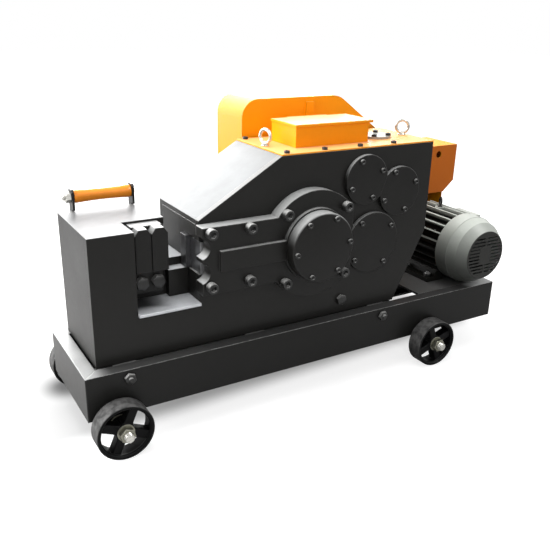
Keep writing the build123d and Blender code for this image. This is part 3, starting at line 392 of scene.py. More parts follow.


# painted metal: rounded edges, rubbed corners with a painted highlight on upper edges, mottling, orange peel, and
# settled dust with painted top light and sheen
peelDepth = 0.00022
plainPaint = {"rough": 0.38, "drift": 0.12, "mottle": 0.4, "peel": 520.0, "bump": 0.16, "edge": 0.0024, "rubAndHighlight": 0.75,
              "dustAndLightAmount": 0.42, "gloss": 0.25}
railPaint = {**plainPaint, "rubbedAndLit": (0.48, 0.48, 0.47), "dustAndPaintedLight": (0.80, 0.805, 0.80), "edge": 0.003, "rubAndHighlight": 0.95,
             "dustAndLightAmount": 0.75}
orangePaint = {"rubbedAndLit": (0.95, 0.55, 0.16), "rough": 0.45, "drift": 0.14, "mottle": 0.16, "peel": 480.0, "bump": 0.12,
               "edge": 0.0018}
# each finish's dust colour, on faces that look up, also paints their top light and sheen; the motor's near-black one
# also paints its shade between ribs, on the feet and on the grille face
paintSet = {
    "charcoal_paint": {**plainPaint, "base": (0.0106, 0.0102, 0.0092), "rubbedAndLit": (0.26, 0.26, 0.25),
                       "dustAndPaintedLight": (0.28, 0.28, 0.275)},
    "guide_paint": {**plainPaint, "base": (0.0095, 0.0092, 0.0084), "rubbedAndLit": (0.26, 0.26, 0.252),
                    "dustAndPaintedLight": (0.44, 0.445, 0.44), "rough": 0.36, "drift": 0.14, "mottle": 0.5, "peel": 420.0,
                    "bump": 0.2, "edge": 0.0045, "rubAndHighlight": 0.7, "dustAndLightAmount": 0.8},
    # the rails' dust and top light are kept in part at the front end, whole at the rear end and thinned between,
    # painted light along the rail tops
    "rail_paint": {**railPaint, "base": (0.0078, 0.0076, 0.0070), "gloss": 0.22,
                   "fade": (("X", 12.0, 60.0, 0.5, 0.07), ("X", 1050.0, 1110.0, 0.0, 1.0))},
    # the front rail takes a lighter copy of the rail paint, a painted light on its front face
    "front_paint": {**railPaint, "base": (0.0175, 0.0171, 0.0160), "fade": (("X", 12.0, 60.0, 0.5, 0.07),)},
    # on the nose the dust and top light stay whole on the low ledges of the throat and thin out on the top, painted
    # light on ledges in shade
    "nose_paint": {**plainPaint, "base": (0.0106, 0.0102, 0.0092), "rubbedAndLit": (0.26, 0.26, 0.25),
                   "dustAndPaintedLight": (0.69, 0.705, 0.72), "dustAndLightAmount": 0.85, "fade": (("Z", 300.0, 370.0, 1.0, 0.2),), "matt": 0.35},
    "slope_paint": {**plainPaint, "base": (0.0106, 0.0102, 0.0092), "rubbedAndLit": (0.24, 0.24, 0.235),
                    "dustAndPaintedLight": (0.27, 0.285, 0.29), "rough": 0.40, "drift": 0.06, "mottle": 0.2, "bump": 0.1,
                    "edge": 0.0016, "rubAndHighlight": 0.2, "gloss": 0.23},
    "screw_paint": {"base": (0.016, 0.016, 0.0155), "rubbedAndLit": (0.30, 0.30, 0.29), "dustAndPaintedLight": (0.42, 0.42, 0.41),
                    "rough": 0.32, "drift": 0.2, "mottle": 0.6, "peel": 300.0, "bump": 0.1, "edge": 0.0008,
                    "rubAndHighlight": 0.5, "dustAndLightAmount": 0.85, "gloss": 0.45},
    # the guard's base is a lighter, yellower copy of the orange paint, a painted light on its near face; painted shade
    # darkens the rear of its near face and its end
    "guard_paint": {**orangePaint, "base": (0.95, 0.37, 0.002), "dustAndPaintedLight": (0.55, 0.40, 0.22), "rubAndHighlight": 0.3, "dustAndLightAmount": 0.04,
                    "gloss": 0.16, "paintedShade": (0.56, 0.135, 0.008), "paintedShadeSpan": ("X", 860.0, 930.0, 0.0, 1.0),
                    "paintedShadeLook": (-0.6, -0.3, 1.0, 0.0), "endShadeLook": (-0.95, -0.4, 0.68, 1.0)},
    "orange_paint": {**orangePaint, "base": (0.88, 0.312, 0.0015), "dustAndPaintedLight": (0.9, 0.7, 0.46), "rubAndHighlight": 0.35, "dustAndLightAmount": 0.36,
                     "gloss": 0.17},
    "motor_paint": {"base": (0.55, 0.58, 0.53), "rubbedAndLit": (0.66, 0.67, 0.64), "dustAndPaintedLight": (0.012, 0.012, 0.010),
                    "rough": 0.40, "drift": 0.18, "mottle": 0.3, "peel": 420.0, "bump": 0.14, "edge": 0.0016,
                    "rubAndHighlight": 0.6, "dustAndLightAmount": 0.1, "gloss": 0.35},
    "grey_paint": {"base": (0.34, 0.34, 0.32), "rubbedAndLit": (0.6, 0.6, 0.58), "dustAndPaintedLight": (0.4, 0.36, 0.3), "rough": 0.35,
                   "drift": 0.2, "mottle": 0.25, "peel": 500.0, "bump": 0.12, "edge": 0.001, "rubAndHighlight": 0.5,
                   "dustAndLightAmount": 0.1, "gloss": 0.5},
    "black_paint": {"base": (0.009, 0.009, 0.009), "rubbedAndLit": (0.14, 0.135, 0.13), "dustAndPaintedLight": (0.09, 0.085, 0.08),
                    "rough": 0.33, "drift": 0.18, "mottle": 0.4, "peel": 520.0, "bump": 0.14, "edge": 0.001,
                    "rubAndHighlight": 0.6, "dustAndLightAmount": 0.08, "gloss": 0.4},
    "roller_paint": {"base": (0.84, 0.255, 0.009), "rubbedAndLit": (0.85, 0.42, 0.10), "dustAndPaintedLight": (0.4, 0.24, 0.12),
                     "rough": 0.22, "drift": 0.2, "mottle": 0.5, "peel": 300.0, "bump": 0.12, "edge": 0.0012,
                     "rubAndHighlight": 0.6, "dustAndLightAmount": 0.06, "gloss": 0.42},
}


def makePaint(name, spec):
    material, tree, shader = startFinish(name)
    skin = useSkin(tree, spec)
    rubAndHighlight = useRubAndHighlight(tree, spec)
    # dust on faces that look up, which also paints their top light and sheen
    dustAndPaintedLight = useEffect(tree, "dustAndPaintedLight", Amount=spec["dustAndLightAmount"])["Mask"]
    tone = skin["Tone"]
    rough = skin["Roughness"]
    # painted shade: faces that look along -x are darkened
    if "endShadeLook" in spec:
        tone = times(tree, tone, ramp(tree, faceAxes(tree)["X"], *spec["endShadeLook"]))
    shade = tinted(tree, spec["base"], tone)
    # painted shade: a darker colour on the rear of the near face
    if "paintedShade" in spec:
        paintedShadeMask = times(tree, fadeAlong(tree, *spec["paintedShadeSpan"]), ramp(tree, faceAxes(tree)["Y"], *spec["paintedShadeLook"]))
        shade = blendColour(tree, paintedShadeMask, shade, rgba(spec["paintedShade"]))
    # the fade spans keep or thin the dust and top light by position, a painted light
    if "fade" in spec:
        dustAndPaintedLight = times(tree, dustAndPaintedLight, keptWhere(tree, spec["fade"]))
    if "matt" in spec:
        # roughness rises where the dust and its painted top light lie
        rough = sums(tree, "ADD", rough, times(tree, dustAndPaintedLight, spec["matt"]))  # settled dust takes the shine
    wornAndLit = blendColour(tree, rubAndHighlight["Mask"], shade, rgba(spec["rubbedAndLit"]))
    tree.links.new(blendColour(tree, dustAndPaintedLight, wornAndLit, rgba(spec["dustAndPaintedLight"])), shader.inputs["Base Color"])
    tree.links.new(rough, shader.inputs["Roughness"])
    tree.links.new(lifted(tree, skin["Height"], rubAndHighlight["Round"], spec["bump"], peelDepth), shader.inputs["Normal"])
    shader.inputs["Specular IOR Level"].default_value = spec["gloss"]
    return material


# motor: radii of fins and feet, height of the belly and depth of the grille face and the cone, in metres
grilleFace = onBench(0.0, -16.0, 0.0)[1]
knee = onBench(0.0, 11.0, 0.0)[1]
motorSet = {
    "axis": tuple(onBench(1095.0, 0.0, 194.0)), "gap": (0.080, 0.0945, 1.0, 0.0), "feet": (0.095, 0.097, 0.0, 0.9),
    "ribBelly": (0.0, 0.066, 0.03, 1.0), "ribGloss": 0.25, "belly": (-0.08, 0.074, 0.11, 1.0), "tilt": (0.5, 0.0, 0.78),
    "grille": (grilleFace + 0.0006, grilleFace + 0.0016, 1.0, 0.0), "cone": (knee - 0.001, knee + 0.001, 0.66, 1.0),
}


def makeMotor(name, spec, shape, ribbed):
    # painted shade: the paint darkens towards the belly and the body; between ribs, on the feet or on the grille face
    # it is nearly black, and the cone is darker
    material, tree, shader = startFinish(name)
    skin = useSkin(tree, spec)
    rubAndHighlight = useRubAndHighlight(tree, spec)
    place = objectPlace(tree)
    off = vectors(tree, "SUBTRACT", place, shape["axis"])["Vector"]
    gloss = spec["gloss"]
    if ribbed:
        parts = axesOf(tree, off)
        across = addNode(tree, "ShaderNodeCombineXYZ", {"X": parts["X"], "Z": parts["Z"]}).outputs[0]
        away = vectors(tree, "LENGTH", across)["Value"]
        dark = sums(tree, "MAXIMUM", ramp(tree, away, *shape["gap"]), ramp(tree, away, *shape["feet"]))
        light = ramp(tree, parts["Z"], *shape["ribBelly"])
        gloss *= shape["ribGloss"]
    else:
        deep = axesOf(tree, place)["Y"]
        dark = ramp(tree, deep, *shape["grille"])
        height = vectors(tree, "DOT_PRODUCT", off, shape["tilt"])["Value"]
        light = times(tree, ramp(tree, height, *shape["belly"]), ramp(tree, deep, *shape["cone"]))
    wornAndLit = blendColour(tree, rubAndHighlight["Mask"], tinted(tree, spec["base"], skin["Tone"]), rgba(spec["rubbedAndLit"]))
    shaded = tinted(tree, wornAndLit, light)
    tree.links.new(blendColour(tree, dark, shaded, rgba(spec["dustAndPaintedLight"])), shader.inputs["Base Color"])
    tree.links.new(skin["Roughness"], shader.inputs["Roughness"])
    tree.links.new(lifted(tree, skin["Height"], rubAndHighlight["Round"], spec["bump"], peelDepth), shader.inputs["Normal"])
    shader.inputs["Specular IOR Level"].default_value = gloss
    return material


# bare and plated metal: drawn lines, stains and bright worn edges, with a painted highlight on upper edges
drawnBump = (0.12, 0.0001)
metalSet = {
    "steel": {"base": (0.42, 0.42, 0.43), "rubbedAndLit": (0.62, 0.62, 0.62), "rough": 0.34, "drift": 0.2, "stain": 0.5,
              "edge": 0.0008, "rubAndHighlight": 0.5, "metal": 1.0},
    "blade_steel": {"base": (0.055, 0.055, 0.058), "rubbedAndLit": (0.5, 0.5, 0.5), "rough": 0.34, "drift": 0.2,
                    "stain": 0.7, "edge": 0.0014, "rubAndHighlight": 0.8, "metal": 0.6},
    # the chute steel darkens in its left and back corner, a painted shadow under the clamp
    "chute_steel": {"base": (0.62, 0.635, 0.66), "rubbedAndLit": (0.85, 0.86, 0.88), "rough": 0.42, "drift": 0.25,
                    "stain": 0.6, "edge": 0.003, "rubAndHighlight": 0.95, "metal": 0.3,
                    "fade": (("X", 160.0, 218.0, 0.08, 1.0), ("Y", 40.0, 72.0, 1.0, 0.08))},
    "nut_zinc": {"base": (0.24, 0.235, 0.19), "rubbedAndLit": (0.62, 0.62, 0.58), "rough": 0.34, "drift": 0.25,
                 "stain": 0.7, "edge": 0.001, "rubAndHighlight": 0.6, "metal": 0.9},
    "zinc": {"base": (0.58, 0.57, 0.53), "rubbedAndLit": (0.78, 0.78, 0.76), "rough": 0.27, "drift": 0.25, "stain": 0.5,
             "edge": 0.0007, "rubAndHighlight": 0.5, "metal": 1.0},
    "black_oxide": {"base": (0.022, 0.022, 0.021), "rubbedAndLit": (0.30, 0.30, 0.29), "rough": 0.32, "drift": 0.2,
                    "stain": 0.6, "edge": 0.0009, "rubAndHighlight": 0.75, "metal": 0.35},
    "bronze": {"base": (0.48, 0.29, 0.09), "rubbedAndLit": (0.7, 0.5, 0.22), "rough": 0.32, "drift": 0.2, "stain": 0.4,
               "edge": 0.0008, "rubAndHighlight": 0.4, "metal": 1.0},
    "machined_iron": {"base": (0.16, 0.16, 0.16), "rubbedAndLit": (0.4, 0.4, 0.4), "rough": 0.4, "drift": 0.2,
                      "stain": 0.5, "edge": 0.001, "rubAndHighlight": 0.5, "metal": 0.85},
}


def makeMetal(name, spec):
    material, tree, shader = startFinish(name)
    skin = useEffect(tree, "metal", Rough=spec["rough"], Drift=spec["drift"], Stain=spec["stain"])
    rubAndHighlight = useRubAndHighlight(tree, spec)
    tone = skin["Tone"]
    # the fade darkens the tone by position, a painted shade
    if "fade" in spec:
        tone = times(tree, tone, keptWhere(tree, spec["fade"]))
    wornAndLit = blendColour(tree, rubAndHighlight["Mask"], tinted(tree, spec["base"], tone), rgba(spec["rubbedAndLit"]))
    tree.links.new(wornAndLit, shader.inputs["Base Color"])
    tree.links.new(skin["Roughness"], shader.inputs["Roughness"])
    tree.links.new(lifted(tree, skin["Height"], rubAndHighlight["Round"], *drawnBump), shader.inputs["Normal"])
    shader.inputs["Metallic"].default_value = spec["metal"]
    return material


# cast wheel iron with a dusty tread, matt rubber and moulded plastic
treadSet = {"cloud": (70.0, 5.0), "cloudy": (0.30, 0.62, 0.35, 1.0), "upward": (-0.4, 0.6, 0.3, 1.0),
            "drift": 40.0, "driftShare": 0.25, "driftStart": -0.12, "depth": 0.0004}
roughSet = {
    "wheel_iron": {"base": (0.0016, 0.0016, 0.0018), "rubbedAndLit": (0.12, 0.12, 0.12), "dustAndPaintedLight": (0.098, 0.097, 0.096),
                   "grain": 320.0, "rough": 0.46, "bump": 0.3, "edge": 0.0014, "rubAndHighlight": 0.4, "gloss": 0.12},
    "belt_rubber": {"base": (0.014, 0.014, 0.014), "rubbedAndLit": (0.05, 0.05, 0.05), "dustAndPaintedLight": (0.06, 0.058, 0.055),
                    "grain": 700.0, "rough": 0.62, "bump": 0.2, "edge": 0.0007, "rubAndHighlight": 0.5, "gloss": 0.25},
    "fan_plastic": {"base": (0.018, 0.018, 0.019), "rubbedAndLit": (0.06, 0.06, 0.06), "dustAndPaintedLight": (0.09, 0.085, 0.08),
                    "grain": 900.0, "rough": 0.48, "bump": 0.14, "edge": 0.0007, "rubAndHighlight": 0.4, "gloss": 0.25},
}


def makeRough(name, spec, tread):
    material, tree, shader = startFinish(name)
    skin = useEffect(tree, "cast", Grain=spec["grain"])
    rubAndHighlight = useRubAndHighlight(tree, spec)
    place = objectPlace(tree)
    # the tread mark is 1 where a wheel meets the ground
    road = addNode(tree, "ShaderNodeAttribute", attribute_name="tread").outputs["Fac"]
    cloud = ramp(tree, noise(tree, place, *tread["cloud"]), *tread["cloudy"])
    dusty = times(tree, road, cloud, ramp(tree, faceAxes(tree)["Z"], *tread["upward"]))
    wornAndLit = blendColour(tree, rubAndHighlight["Mask"], tinted(tree, spec["base"], skin["Tone"]), rgba(spec["rubbedAndLit"]))
    tree.links.new(blendColour(tree, dusty, wornAndLit, rgba(spec["dustAndPaintedLight"])), shader.inputs["Base Color"])
    drift = times(tree, noise(tree, place, tread["drift"]), tread["driftShare"])
    tree.links.new(sums(tree, "ADD", drift, spec["rough"] + tread["driftStart"]), shader.inputs["Roughness"])
    tree.links.new(lifted(tree, skin["Height"], rubAndHighlight["Round"], spec["bump"], tread["depth"]), shader.inputs["Normal"])
    shader.inputs["Specular IOR Level"].default_value = spec["gloss"]
    return material


finishes = {name: makePaint(name, spec) for name, spec in paintSet.items()}
finishes.update({name: makeMetal(name, spec) for name, spec in metalSet.items()})
finishes.update({name: makeRough(name, spec, treadSet) for name, spec in roughSet.items()})
finishes["motor_ribs"] = makeMotor("motor_ribs", paintSet["motor_paint"], motorSet, True)
finishes["motor_cowl"] = makeMotor("motor_cowl", paintSet["motor_paint"], motorSet, False)

# every CAD node takes the finish of its slot, or its own where the photo shows a different surface
slotOf = {row["node"]: row["material_slot"] for row in frame["record"]["subparts"]}
ownGroups = {
    "guide_paint": ("guide_plate", "bearing_covers", "blade_clamp", "ram_guide"),
    "rail_paint": ("near_rail", "far_rail", "rear_rail"),
    "front_paint": ("front_rail",),
    "nose_paint": ("nose_block",),
    "slope_paint": ("slope_plate",),
    "guard_paint": ("belt_guard", "guard_back"),
    "chute_steel": ("throat_chute",),
    # the rotor seen through the grille takes the dark oxide finish, a painted shade inside the motor
    "black_oxide": ("motor_rotor",),
    "motor_ribs": ("motor_housing",),
    "motor_cowl": ("fan_cowl",),
}
ownFinish = {nodeName: finishName for finishName, group in ownGroups.items() for nodeName in group}
for nodeName, piece in nodes.items():
    finish = finishes[ownFinish.get(nodeName, slotOf[nodeName])]
    if len(piece.material_slots):
        piece.material_slots[0].material = finish
    else:
        piece.data.materials.append(finish)
print("stage: finishes,", len(finishes))


# mesh helpers: grids of points in millimetres become closed skins
def gridFaces(rows, cols, wrapRows=False):
    # quads between neighbouring rows, with the last column joined to the first
    i = np.arange(rows if wrapRows else rows - 1)[:, None]
    j = np.arange(cols)[None, :]
    i2, j2 = (i + 1) % rows, (j + 1) % cols
    corners = (i * cols + j, i * cols + j2, i2 * cols + j2, i2 * cols + j)
    return np.stack(np.broadcast_arrays(*corners), -1).reshape(-1, 4)


def joined(grids):
    # several (points, faces) skins as one
    starts = np.cumsum([0] + [len(p) for p, f in grids[:-1]])
    return np.concatenate([p for p, f in grids]), np.concatenate([f + s for (p, f), s in zip(grids, starts)])


def around(columns):
    return np.linspace(0.0, 2 * np.pi, columns, endpoint=False)


def turned(profile, columns, wrapRows=False):
    # a profile of (radius, height) rows carried round the local z axis
    r, z = np.asarray(profile, float).T
    t = around(columns)
    points = np.stack([r[:, None] * np.cos(t), r[:, None] * np.sin(t), np.repeat(z[:, None], columns, 1)], -1)
    return points.reshape(-1, 3), gridFaces(len(r), columns, wrapRows)


def roundedBox(r0, r1, z0, z1, corner, steps=4):
    # closed rectangular profile of radius and height with quarter-circle corners
    quarter = np.pi / 2
    inner, outer = r0 + corner, r1 - corner
    low, high = z0 + corner, z1 - corner
    arcs = []
    for k, (cr, cz) in enumerate(((outer, high), (inner, high), (inner, low), (outer, low))):
        a = np.linspace(0.0, quarter, steps) + k * quarter
        arcs.append(np.stack([cr + corner * np.cos(a), cz + corner * np.sin(a)], -1))
    return np.concatenate(arcs)


axisFrames = {
    "+z": ((1, 0, 0), (0, 1, 0), (0, 0, 1)),
    "-y": ((1, 0, 0), (0, 0, 1), (0, -1, 0)),
    "+y": ((-1, 0, 0), (0, 0, 1), (0, 1, 0)),
    "-x": ((0, -1, 0), (0, 0, 1), (-1, 0, 0)),
    "+x": ((0, 1, 0), (0, 0, 1), (1, 0, 0)),
}


def setOn(skin, centre, axis, turn=0.0):
    # local z goes along the axis, turned about it in degrees, and the local origin to the centre
    points, faces = skin
    c, s = math.cos(math.radians(turn)), math.sin(math.radians(turn))
    spun = points @ np.array([[c, s, 0], [-s, c, 0], [0, 0, 1.0]])
    return spun @ np.array(axisFrames[axis], float) + np.array(centre, float), faces


mergeSet = {"doubles": 1e-6, "slivers": 1e-7}


def makePiece(name, skin, slotName, body, replaced=(), marks=None, sharp=35.0, finish=None):
    # bench millimetres to metres in the shared frame, doubles merged, faces outward, smooth with sharp creases
    points, faces = skin
    mesh = bpy.data.meshes.new(name)
    mesh.from_pydata(((points + origin) * mm).tolist(), [], faces.tolist())
    if marks is not None:
        layer = mesh.attributes.new("tread", "FLOAT", "POINT")
        layer.data.foreach_set("value", np.asarray(marks, np.float32))
    work = bmesh.new()
    work.from_mesh(mesh)
    bmesh.ops.remove_doubles(work, verts=work.verts, dist=mergeSet["doubles"])
    bmesh.ops.dissolve_degenerate(work, edges=work.edges, dist=mergeSet["slivers"])
    bmesh.ops.recalc_face_normals(work, faces=work.faces)
    work.to_mesh(mesh)
    work.free()
    mesh.shade_smooth()
    mesh.set_sharp_from_angle(angle=math.radians(sharp))
    mesh.materials.append(finishes[finish or slotName])
    piece = bpy.data.objects.new(name, mesh)
    scene.collection.objects.link(piece)
    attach(piece, body)
    if replaced:
        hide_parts(*replaced)
    return piece


# fastener shapes, with the seat at local z 0
def flatRow(r, t, z):
    # one row of a grid: radius r and height z in the directions t
    return np.stack([r * np.cos(t), r * np.sin(t), 0 * t + z], -1)


def hexRadius(acrossFlats, t):
    # distance from the middle of a hexagon to its side in direction t
    return acrossFlats / 2 / np.cos((t + np.pi / 6) % (np.pi / 3) - np.pi / 6)


socketSet = {"ease": 1.6, "easeShare": 0.16, "knuckle": 0.3, "mouth": 1.12, "lead": 0.7, "sunk": 0.45, "floor": 0.36}


def socketHead(radius, height, key, columns=30, spec=socketSet):
    # round head with an eased edge; its face sinks into a hexagonal key hole with a drilled floor
    t = around(columns)
    ease = min(spec["ease"], radius * spec["easeShare"])
    step = spec["knuckle"] * ease
    hole = hexRadius(key, t)
    full = 0 * t + radius
    rows = [(0 * t, 0.0), (full, 0.0), (full, height - ease), (full - step, height - step), (full - ease, height),
            (hole * spec["mouth"], height), (hole, height - spec["lead"]), (hole, height * spec["sunk"]),
            (0 * t, height * spec["floor"])]
    points = np.stack([flatRow(r, t, z) for r, z in rows])
    return points.reshape(-1, 3), gridFaces(len(rows), columns)


hexShape = {"crown": 0.475, "cone": 0.62, "foot": 0.6, "lead": 0.8}


def hexHead(acrossFlats, height, bore=0.0, columns=36, spec=hexShape):
    # hexagon whose top corners are turned off by a 30 degree cone
    t = around(columns)
    edge = hexRadius(acrossFlats, t)
    crown = acrossFlats * spec["crown"]
    drop = np.maximum(0.0, edge - crown) * spec["cone"]
    inner = np.full_like(t, bore)
    lead = spec["lead"] if bore else 0.0
    rows = [(inner, 0.0), (edge, drop * spec["foot"]), (edge, height - drop), (np.minimum(edge, crown), height),
            (inner + lead, height), (inner, height - lead)]
    points = np.stack([flatRow(r, t, z) for r, z in rows])
    return points.reshape(-1, 3), gridFaces(len(rows), columns, wrapRows=bore > 0)


studSet = {"depth": 0.33, "stepsPerTurn": 6, "leastSteps": 8, "taper": 1.6, "point": 1.2}


def threadedStud(radius, z0, z1, pitch=2.5, columns=24, spec=studSet):
    # a ridge winds up the rod: the radius follows a cosine wave of height less turn, and the end is tapered
    z = np.linspace(z0, z1, max(spec["leastSteps"], int((z1 - z0) / pitch * spec["stepsPerTurn"])))
    t = around(columns)
    wave = 0.5 - 0.5 * np.cos(2 * np.pi * (z[:, None] / pitch - t / (2 * np.pi)))
    taper = np.clip((z1 - z) / spec["taper"], 0.0, 1.0)[:, None]
    r = radius - spec["depth"] * pitch * wave - spec["point"] * (1.0 - taper)
    body = np.stack([r * np.cos(t), r * np.sin(t), z[:, None] + 0 * t], -1)
    cap = np.zeros((1, columns, 3))
    points = np.concatenate([cap + (0, 0, z0), body, cap + (0, 0, z1)])
    return points.reshape(-1, 3), gridFaces(len(z) + 2, columns)


def ring(centre, radius, count, start):
    a = np.radians(start) + 2 * np.pi * np.arange(count) / count
    return np.stack([centre[0] + radius * np.cos(a), centre[1] + radius * np.sin(a)], -1)


def polar(centre, reach, degrees):
    a = math.radians(degrees)
    return centre + reach * np.array([math.cos(a), math.sin(a)])


# shaft centres on the working side and faces of the rails, in bench millimetres
crankAt = np.array([547.0, 304.0])
thirdAt = polar(crankAt, 189.0, -9.6)
secondAt = polar(thirdAt, 142.5, 59.0)
firstAt = polar(secondAt, 110.0, 160.1)
nearRail, farRail = 0.0, 256.0

# cap screws of the covers, the deck and the flange plate
coverScrewSet = {"head": (6.5, 5.0, 6.0), "turn": 17.0, "side": "-y",
                 "rings": (((crankAt, 71.5, 6, 5), -34.0), ((firstAt, 48.0, 4, 23), 24.0),
                           ((secondAt, 51.5, 4, 22), 24.0), ((thirdAt, 65.5, 4, 35), 24.0))}
farScrewSet = {"head": (6.5, 3.0, 5.0), "turn": 23.0, "side": "+y",
               "rings": (((secondAt, 44.0, 4, 45), 254.0), ((thirdAt, 51.0, 4, 45), 254.0),
                         ((crankAt, 56.0, 4, 45), 254.0))}
deckScrewSet = {"head": (6.5, 6.0, 6.0), "x": (490.0, 590.5, 691.0, 791.5), "y": (45.0, 235.0), "seat": 509.0}
flangeScrewSet = {"head": (6.5, 6.0, 6.0), "middle": (806.0, 136.0), "offset": (22.0, 25.0), "seat": 515.0,
                  "turn": (31, 9)}


def ringHeads(spec):
    heads = []
    for row, face in spec["rings"]:
        for k, (x, z) in enumerate(ring(*row)):
            heads.append(setOn(socketHead(*spec["head"]), (x, face, z), spec["side"], spec["turn"] * k))
    return heads


def makeCoverScrews(covers, farCovers):
    heads = ringHeads(covers) + ringHeads(farCovers)
    makePiece("capScrews", joined(heads), "black_oxide", "frame", ["cover_screws"], finish="screw_paint")


def makeDeckScrews(deck, flange):
    heads = []
    for x in deck["x"]:
        heads += [setOn(socketHead(*deck["head"]), (x, y, deck["seat"]), "+z", x) for y in deck["y"]]
    for a in (-1, 1):
        for b in (-1, 1):
            x = flange["middle"][0] + a * flange["offset"][0]
            y = flange["middle"][1] + b * flange["offset"][1]
            turn = a * flange["turn"][0] + b * flange["turn"][1]
            heads.append(setOn(socketHead(*flange["head"]), (x, y, flange["seat"]), "+z", turn))
    makePiece("deckScrews", joined(heads), "black_oxide", "frame")


# large socket bolts of the guide plate
guideBoltSet = {"columns": (282.0, 375.0), "rises": (-56.5, 63.0), "ring": (113.5, 4, 45), "face": 2.0,
                "head": (12.0, 16.0, 12.0, 36), "turn": 19.0}


def makeGuideBolts(spec):
    spots = [(x, crankAt[1] + rise) for x in spec["columns"] for rise in spec["rises"]]
    spots += [tuple(p) for p in ring(crankAt, *spec["ring"])]
    heads = []
    for k, (x, z) in enumerate(spots):
        heads.append(setOn(socketHead(*spec["head"]), (x, spec["face"], z), "-y", spec["turn"] * k))
    makePiece("guidePlateBolts", joined(heads), "black_oxide", "frame", ["guide_bolts"], finish="screw_paint")


# hexagon bolts and nuts: size is across flats and height, stud is radius, start, end and pitch, turn is start and step
hexSet = {
    "frame": {"spots": [(93.0, 80.0), (763.0, 80.0)], "size": (22.0, 8.0), "stud": (6.0, 6.0, 12.0, 1.75),
              "turn": (11, 20), "farTurn": (5, 20)},
    "clamp": {"spots": [(157.0, 252.0), (194.0, 252.0)], "size": (26.0, 14.0), "face": 84.0, "side": "-y",
              "turn": (8, 14)},
    "feet": {"x": (1015.0, 1175.0), "y": (112.0, 200.0), "seat": 106.0, "size": (17.0, 8.0),
             "stud": (5.0, 6.0, 12.0, 1.5)},
    "guard": {"spots": [(525.0, 444.0), (880.0, 470.0), (880.0, 330.0), (639.0, 252.0)], "size": (17.0, 7.0),
              "face": 261.0, "side": "+y", "turn": (0.0, 13.0)},
    "roller": {"spots": [(100.0, 355.0), (180.0, 355.0)], "size": (17.0, 7.0), "face": 252.0, "side": "+y",
               "turn": (0.0, 13.0)},
    "drain": {"spots": [polar(thirdAt, 160.0, 239.5)], "size": (24.0, 9.0), "face": 34.0, "side": "-y",
              "turn": (10, 0)},
}


def hexRow(spec):
    start, step = spec["turn"]
    head = hexHead(*spec["size"])
    return [setOn(head, (x, spec["face"], z), spec["side"], start + step * k) for k, (x, z) in enumerate(spec["spots"])]


def makeHexBolts(spec):
    skins = []
    rails = spec["frame"]
    head = hexHead(*rails["size"])
    tip = threadedStud(*rails["stud"])
    for k, (x, z) in enumerate(rails["spots"]):
        for face, side, (start, step) in ((nearRail, "-y", rails["turn"]), (farRail, "+y", rails["farTurn"])):
            skins += [setOn(head, (x, face, z), side, start + step * k), setOn(tip, (x, face, z), side)]
    skins += hexRow(spec["clamp"])
    feet = spec["feet"]
    for x in feet["x"]:
        for y in feet["y"]:
            at = (x, y, feet["seat"])
            skins += [setOn(hexHead(*feet["size"]), at, "+z", x + y), setOn(threadedStud(*feet["stud"]), at, "+z")]
    for group in ("guard", "roller", "drain"):
        skins += hexRow(spec[group])
    makePiece("hexBolts", joined(skins), "black_oxide", "frame", ["hex_bolts"], finish="screw_paint")


# running gear: axles with threaded ends, washers, nuts, spacer sleeves and the four cast wheels
axleSet = {"x": (64.0, 920.0), "z": -18.5, "radius": 10.0, "core": 9.6, "near": -70.0, "far": 361.0,
           "threadLength": 28.0, "lap": 1.0, "columns": 40}
nutSet = {"across": 30.0, "height": 14.0, "bore": 10.1, "turn": (14, 21), "washer": (10.6, 19.0), "thick": 3.0,
          "washerEase": 0.6, "washerColumns": 48, "sleeve": (10.4, 20.0), "sleeveEase": 0.8, "sleeveColumns": 40,
          "sides": (("-y", nearRail, -1.0, 41.5, 4.0), ("+y", farRail, 1.0, 76.5, 39.0))}


def makeAxles(spec):
    start = spec["threadLength"]
    end = spec["far"] - spec["near"] - start
    middle = turned([(0.0, start), (spec["core"], start), (spec["core"], end), (0.0, end)], spec["columns"])
    reach = start + spec["lap"]
    thread = threadedStud(spec["radius"], 0.0, reach)
    skins = []
    for x in spec["x"]:
        skins.append(setOn(middle, (x, spec["near"], spec["z"]), "+y"))
        skins.append(setOn(thread, (x, spec["near"] + reach, spec["z"]), "-y"))
        skins.append(setOn(thread, (x, spec["far"] - reach, spec["z"]), "+y"))
    makePiece("threadedAxles", joined(skins), "zinc", "frame", ["wheel_axles"])


def makeAxleNuts(spec):
    thick = spec["thick"]
    washer = turned(roundedBox(*spec["washer"], 0.0, thick, spec["washerEase"]), spec["washerColumns"], wrapRows=True)
    nut = hexHead(spec["across"], spec["height"], bore=spec["bore"])
    start, step = spec["turn"]
    skins = []
    for k, x in enumerate(axleSet["x"]):
        for side, rail, sign, face, gap in spec["sides"]:
            sleeveBox = roundedBox(*spec["sleeve"], 0.0, gap, spec["sleeveEase"])
            sleeve = turned(sleeveBox, spec["sleeveColumns"], wrapRows=True)
            skins.append(setOn(sleeve, (x, rail, axleSet["z"]), side))
            skins.append(setOn(washer, (x, rail + sign * face, axleSet["z"]), side))
            skins.append(setOn(nut, (x, rail + sign * (face + thick), axleSet["z"]), side, start + step * k))
    makePiece("axleNuts", joined(skins), "zinc", "frame", ["axle_fasteners"], finish="nut_zinc")


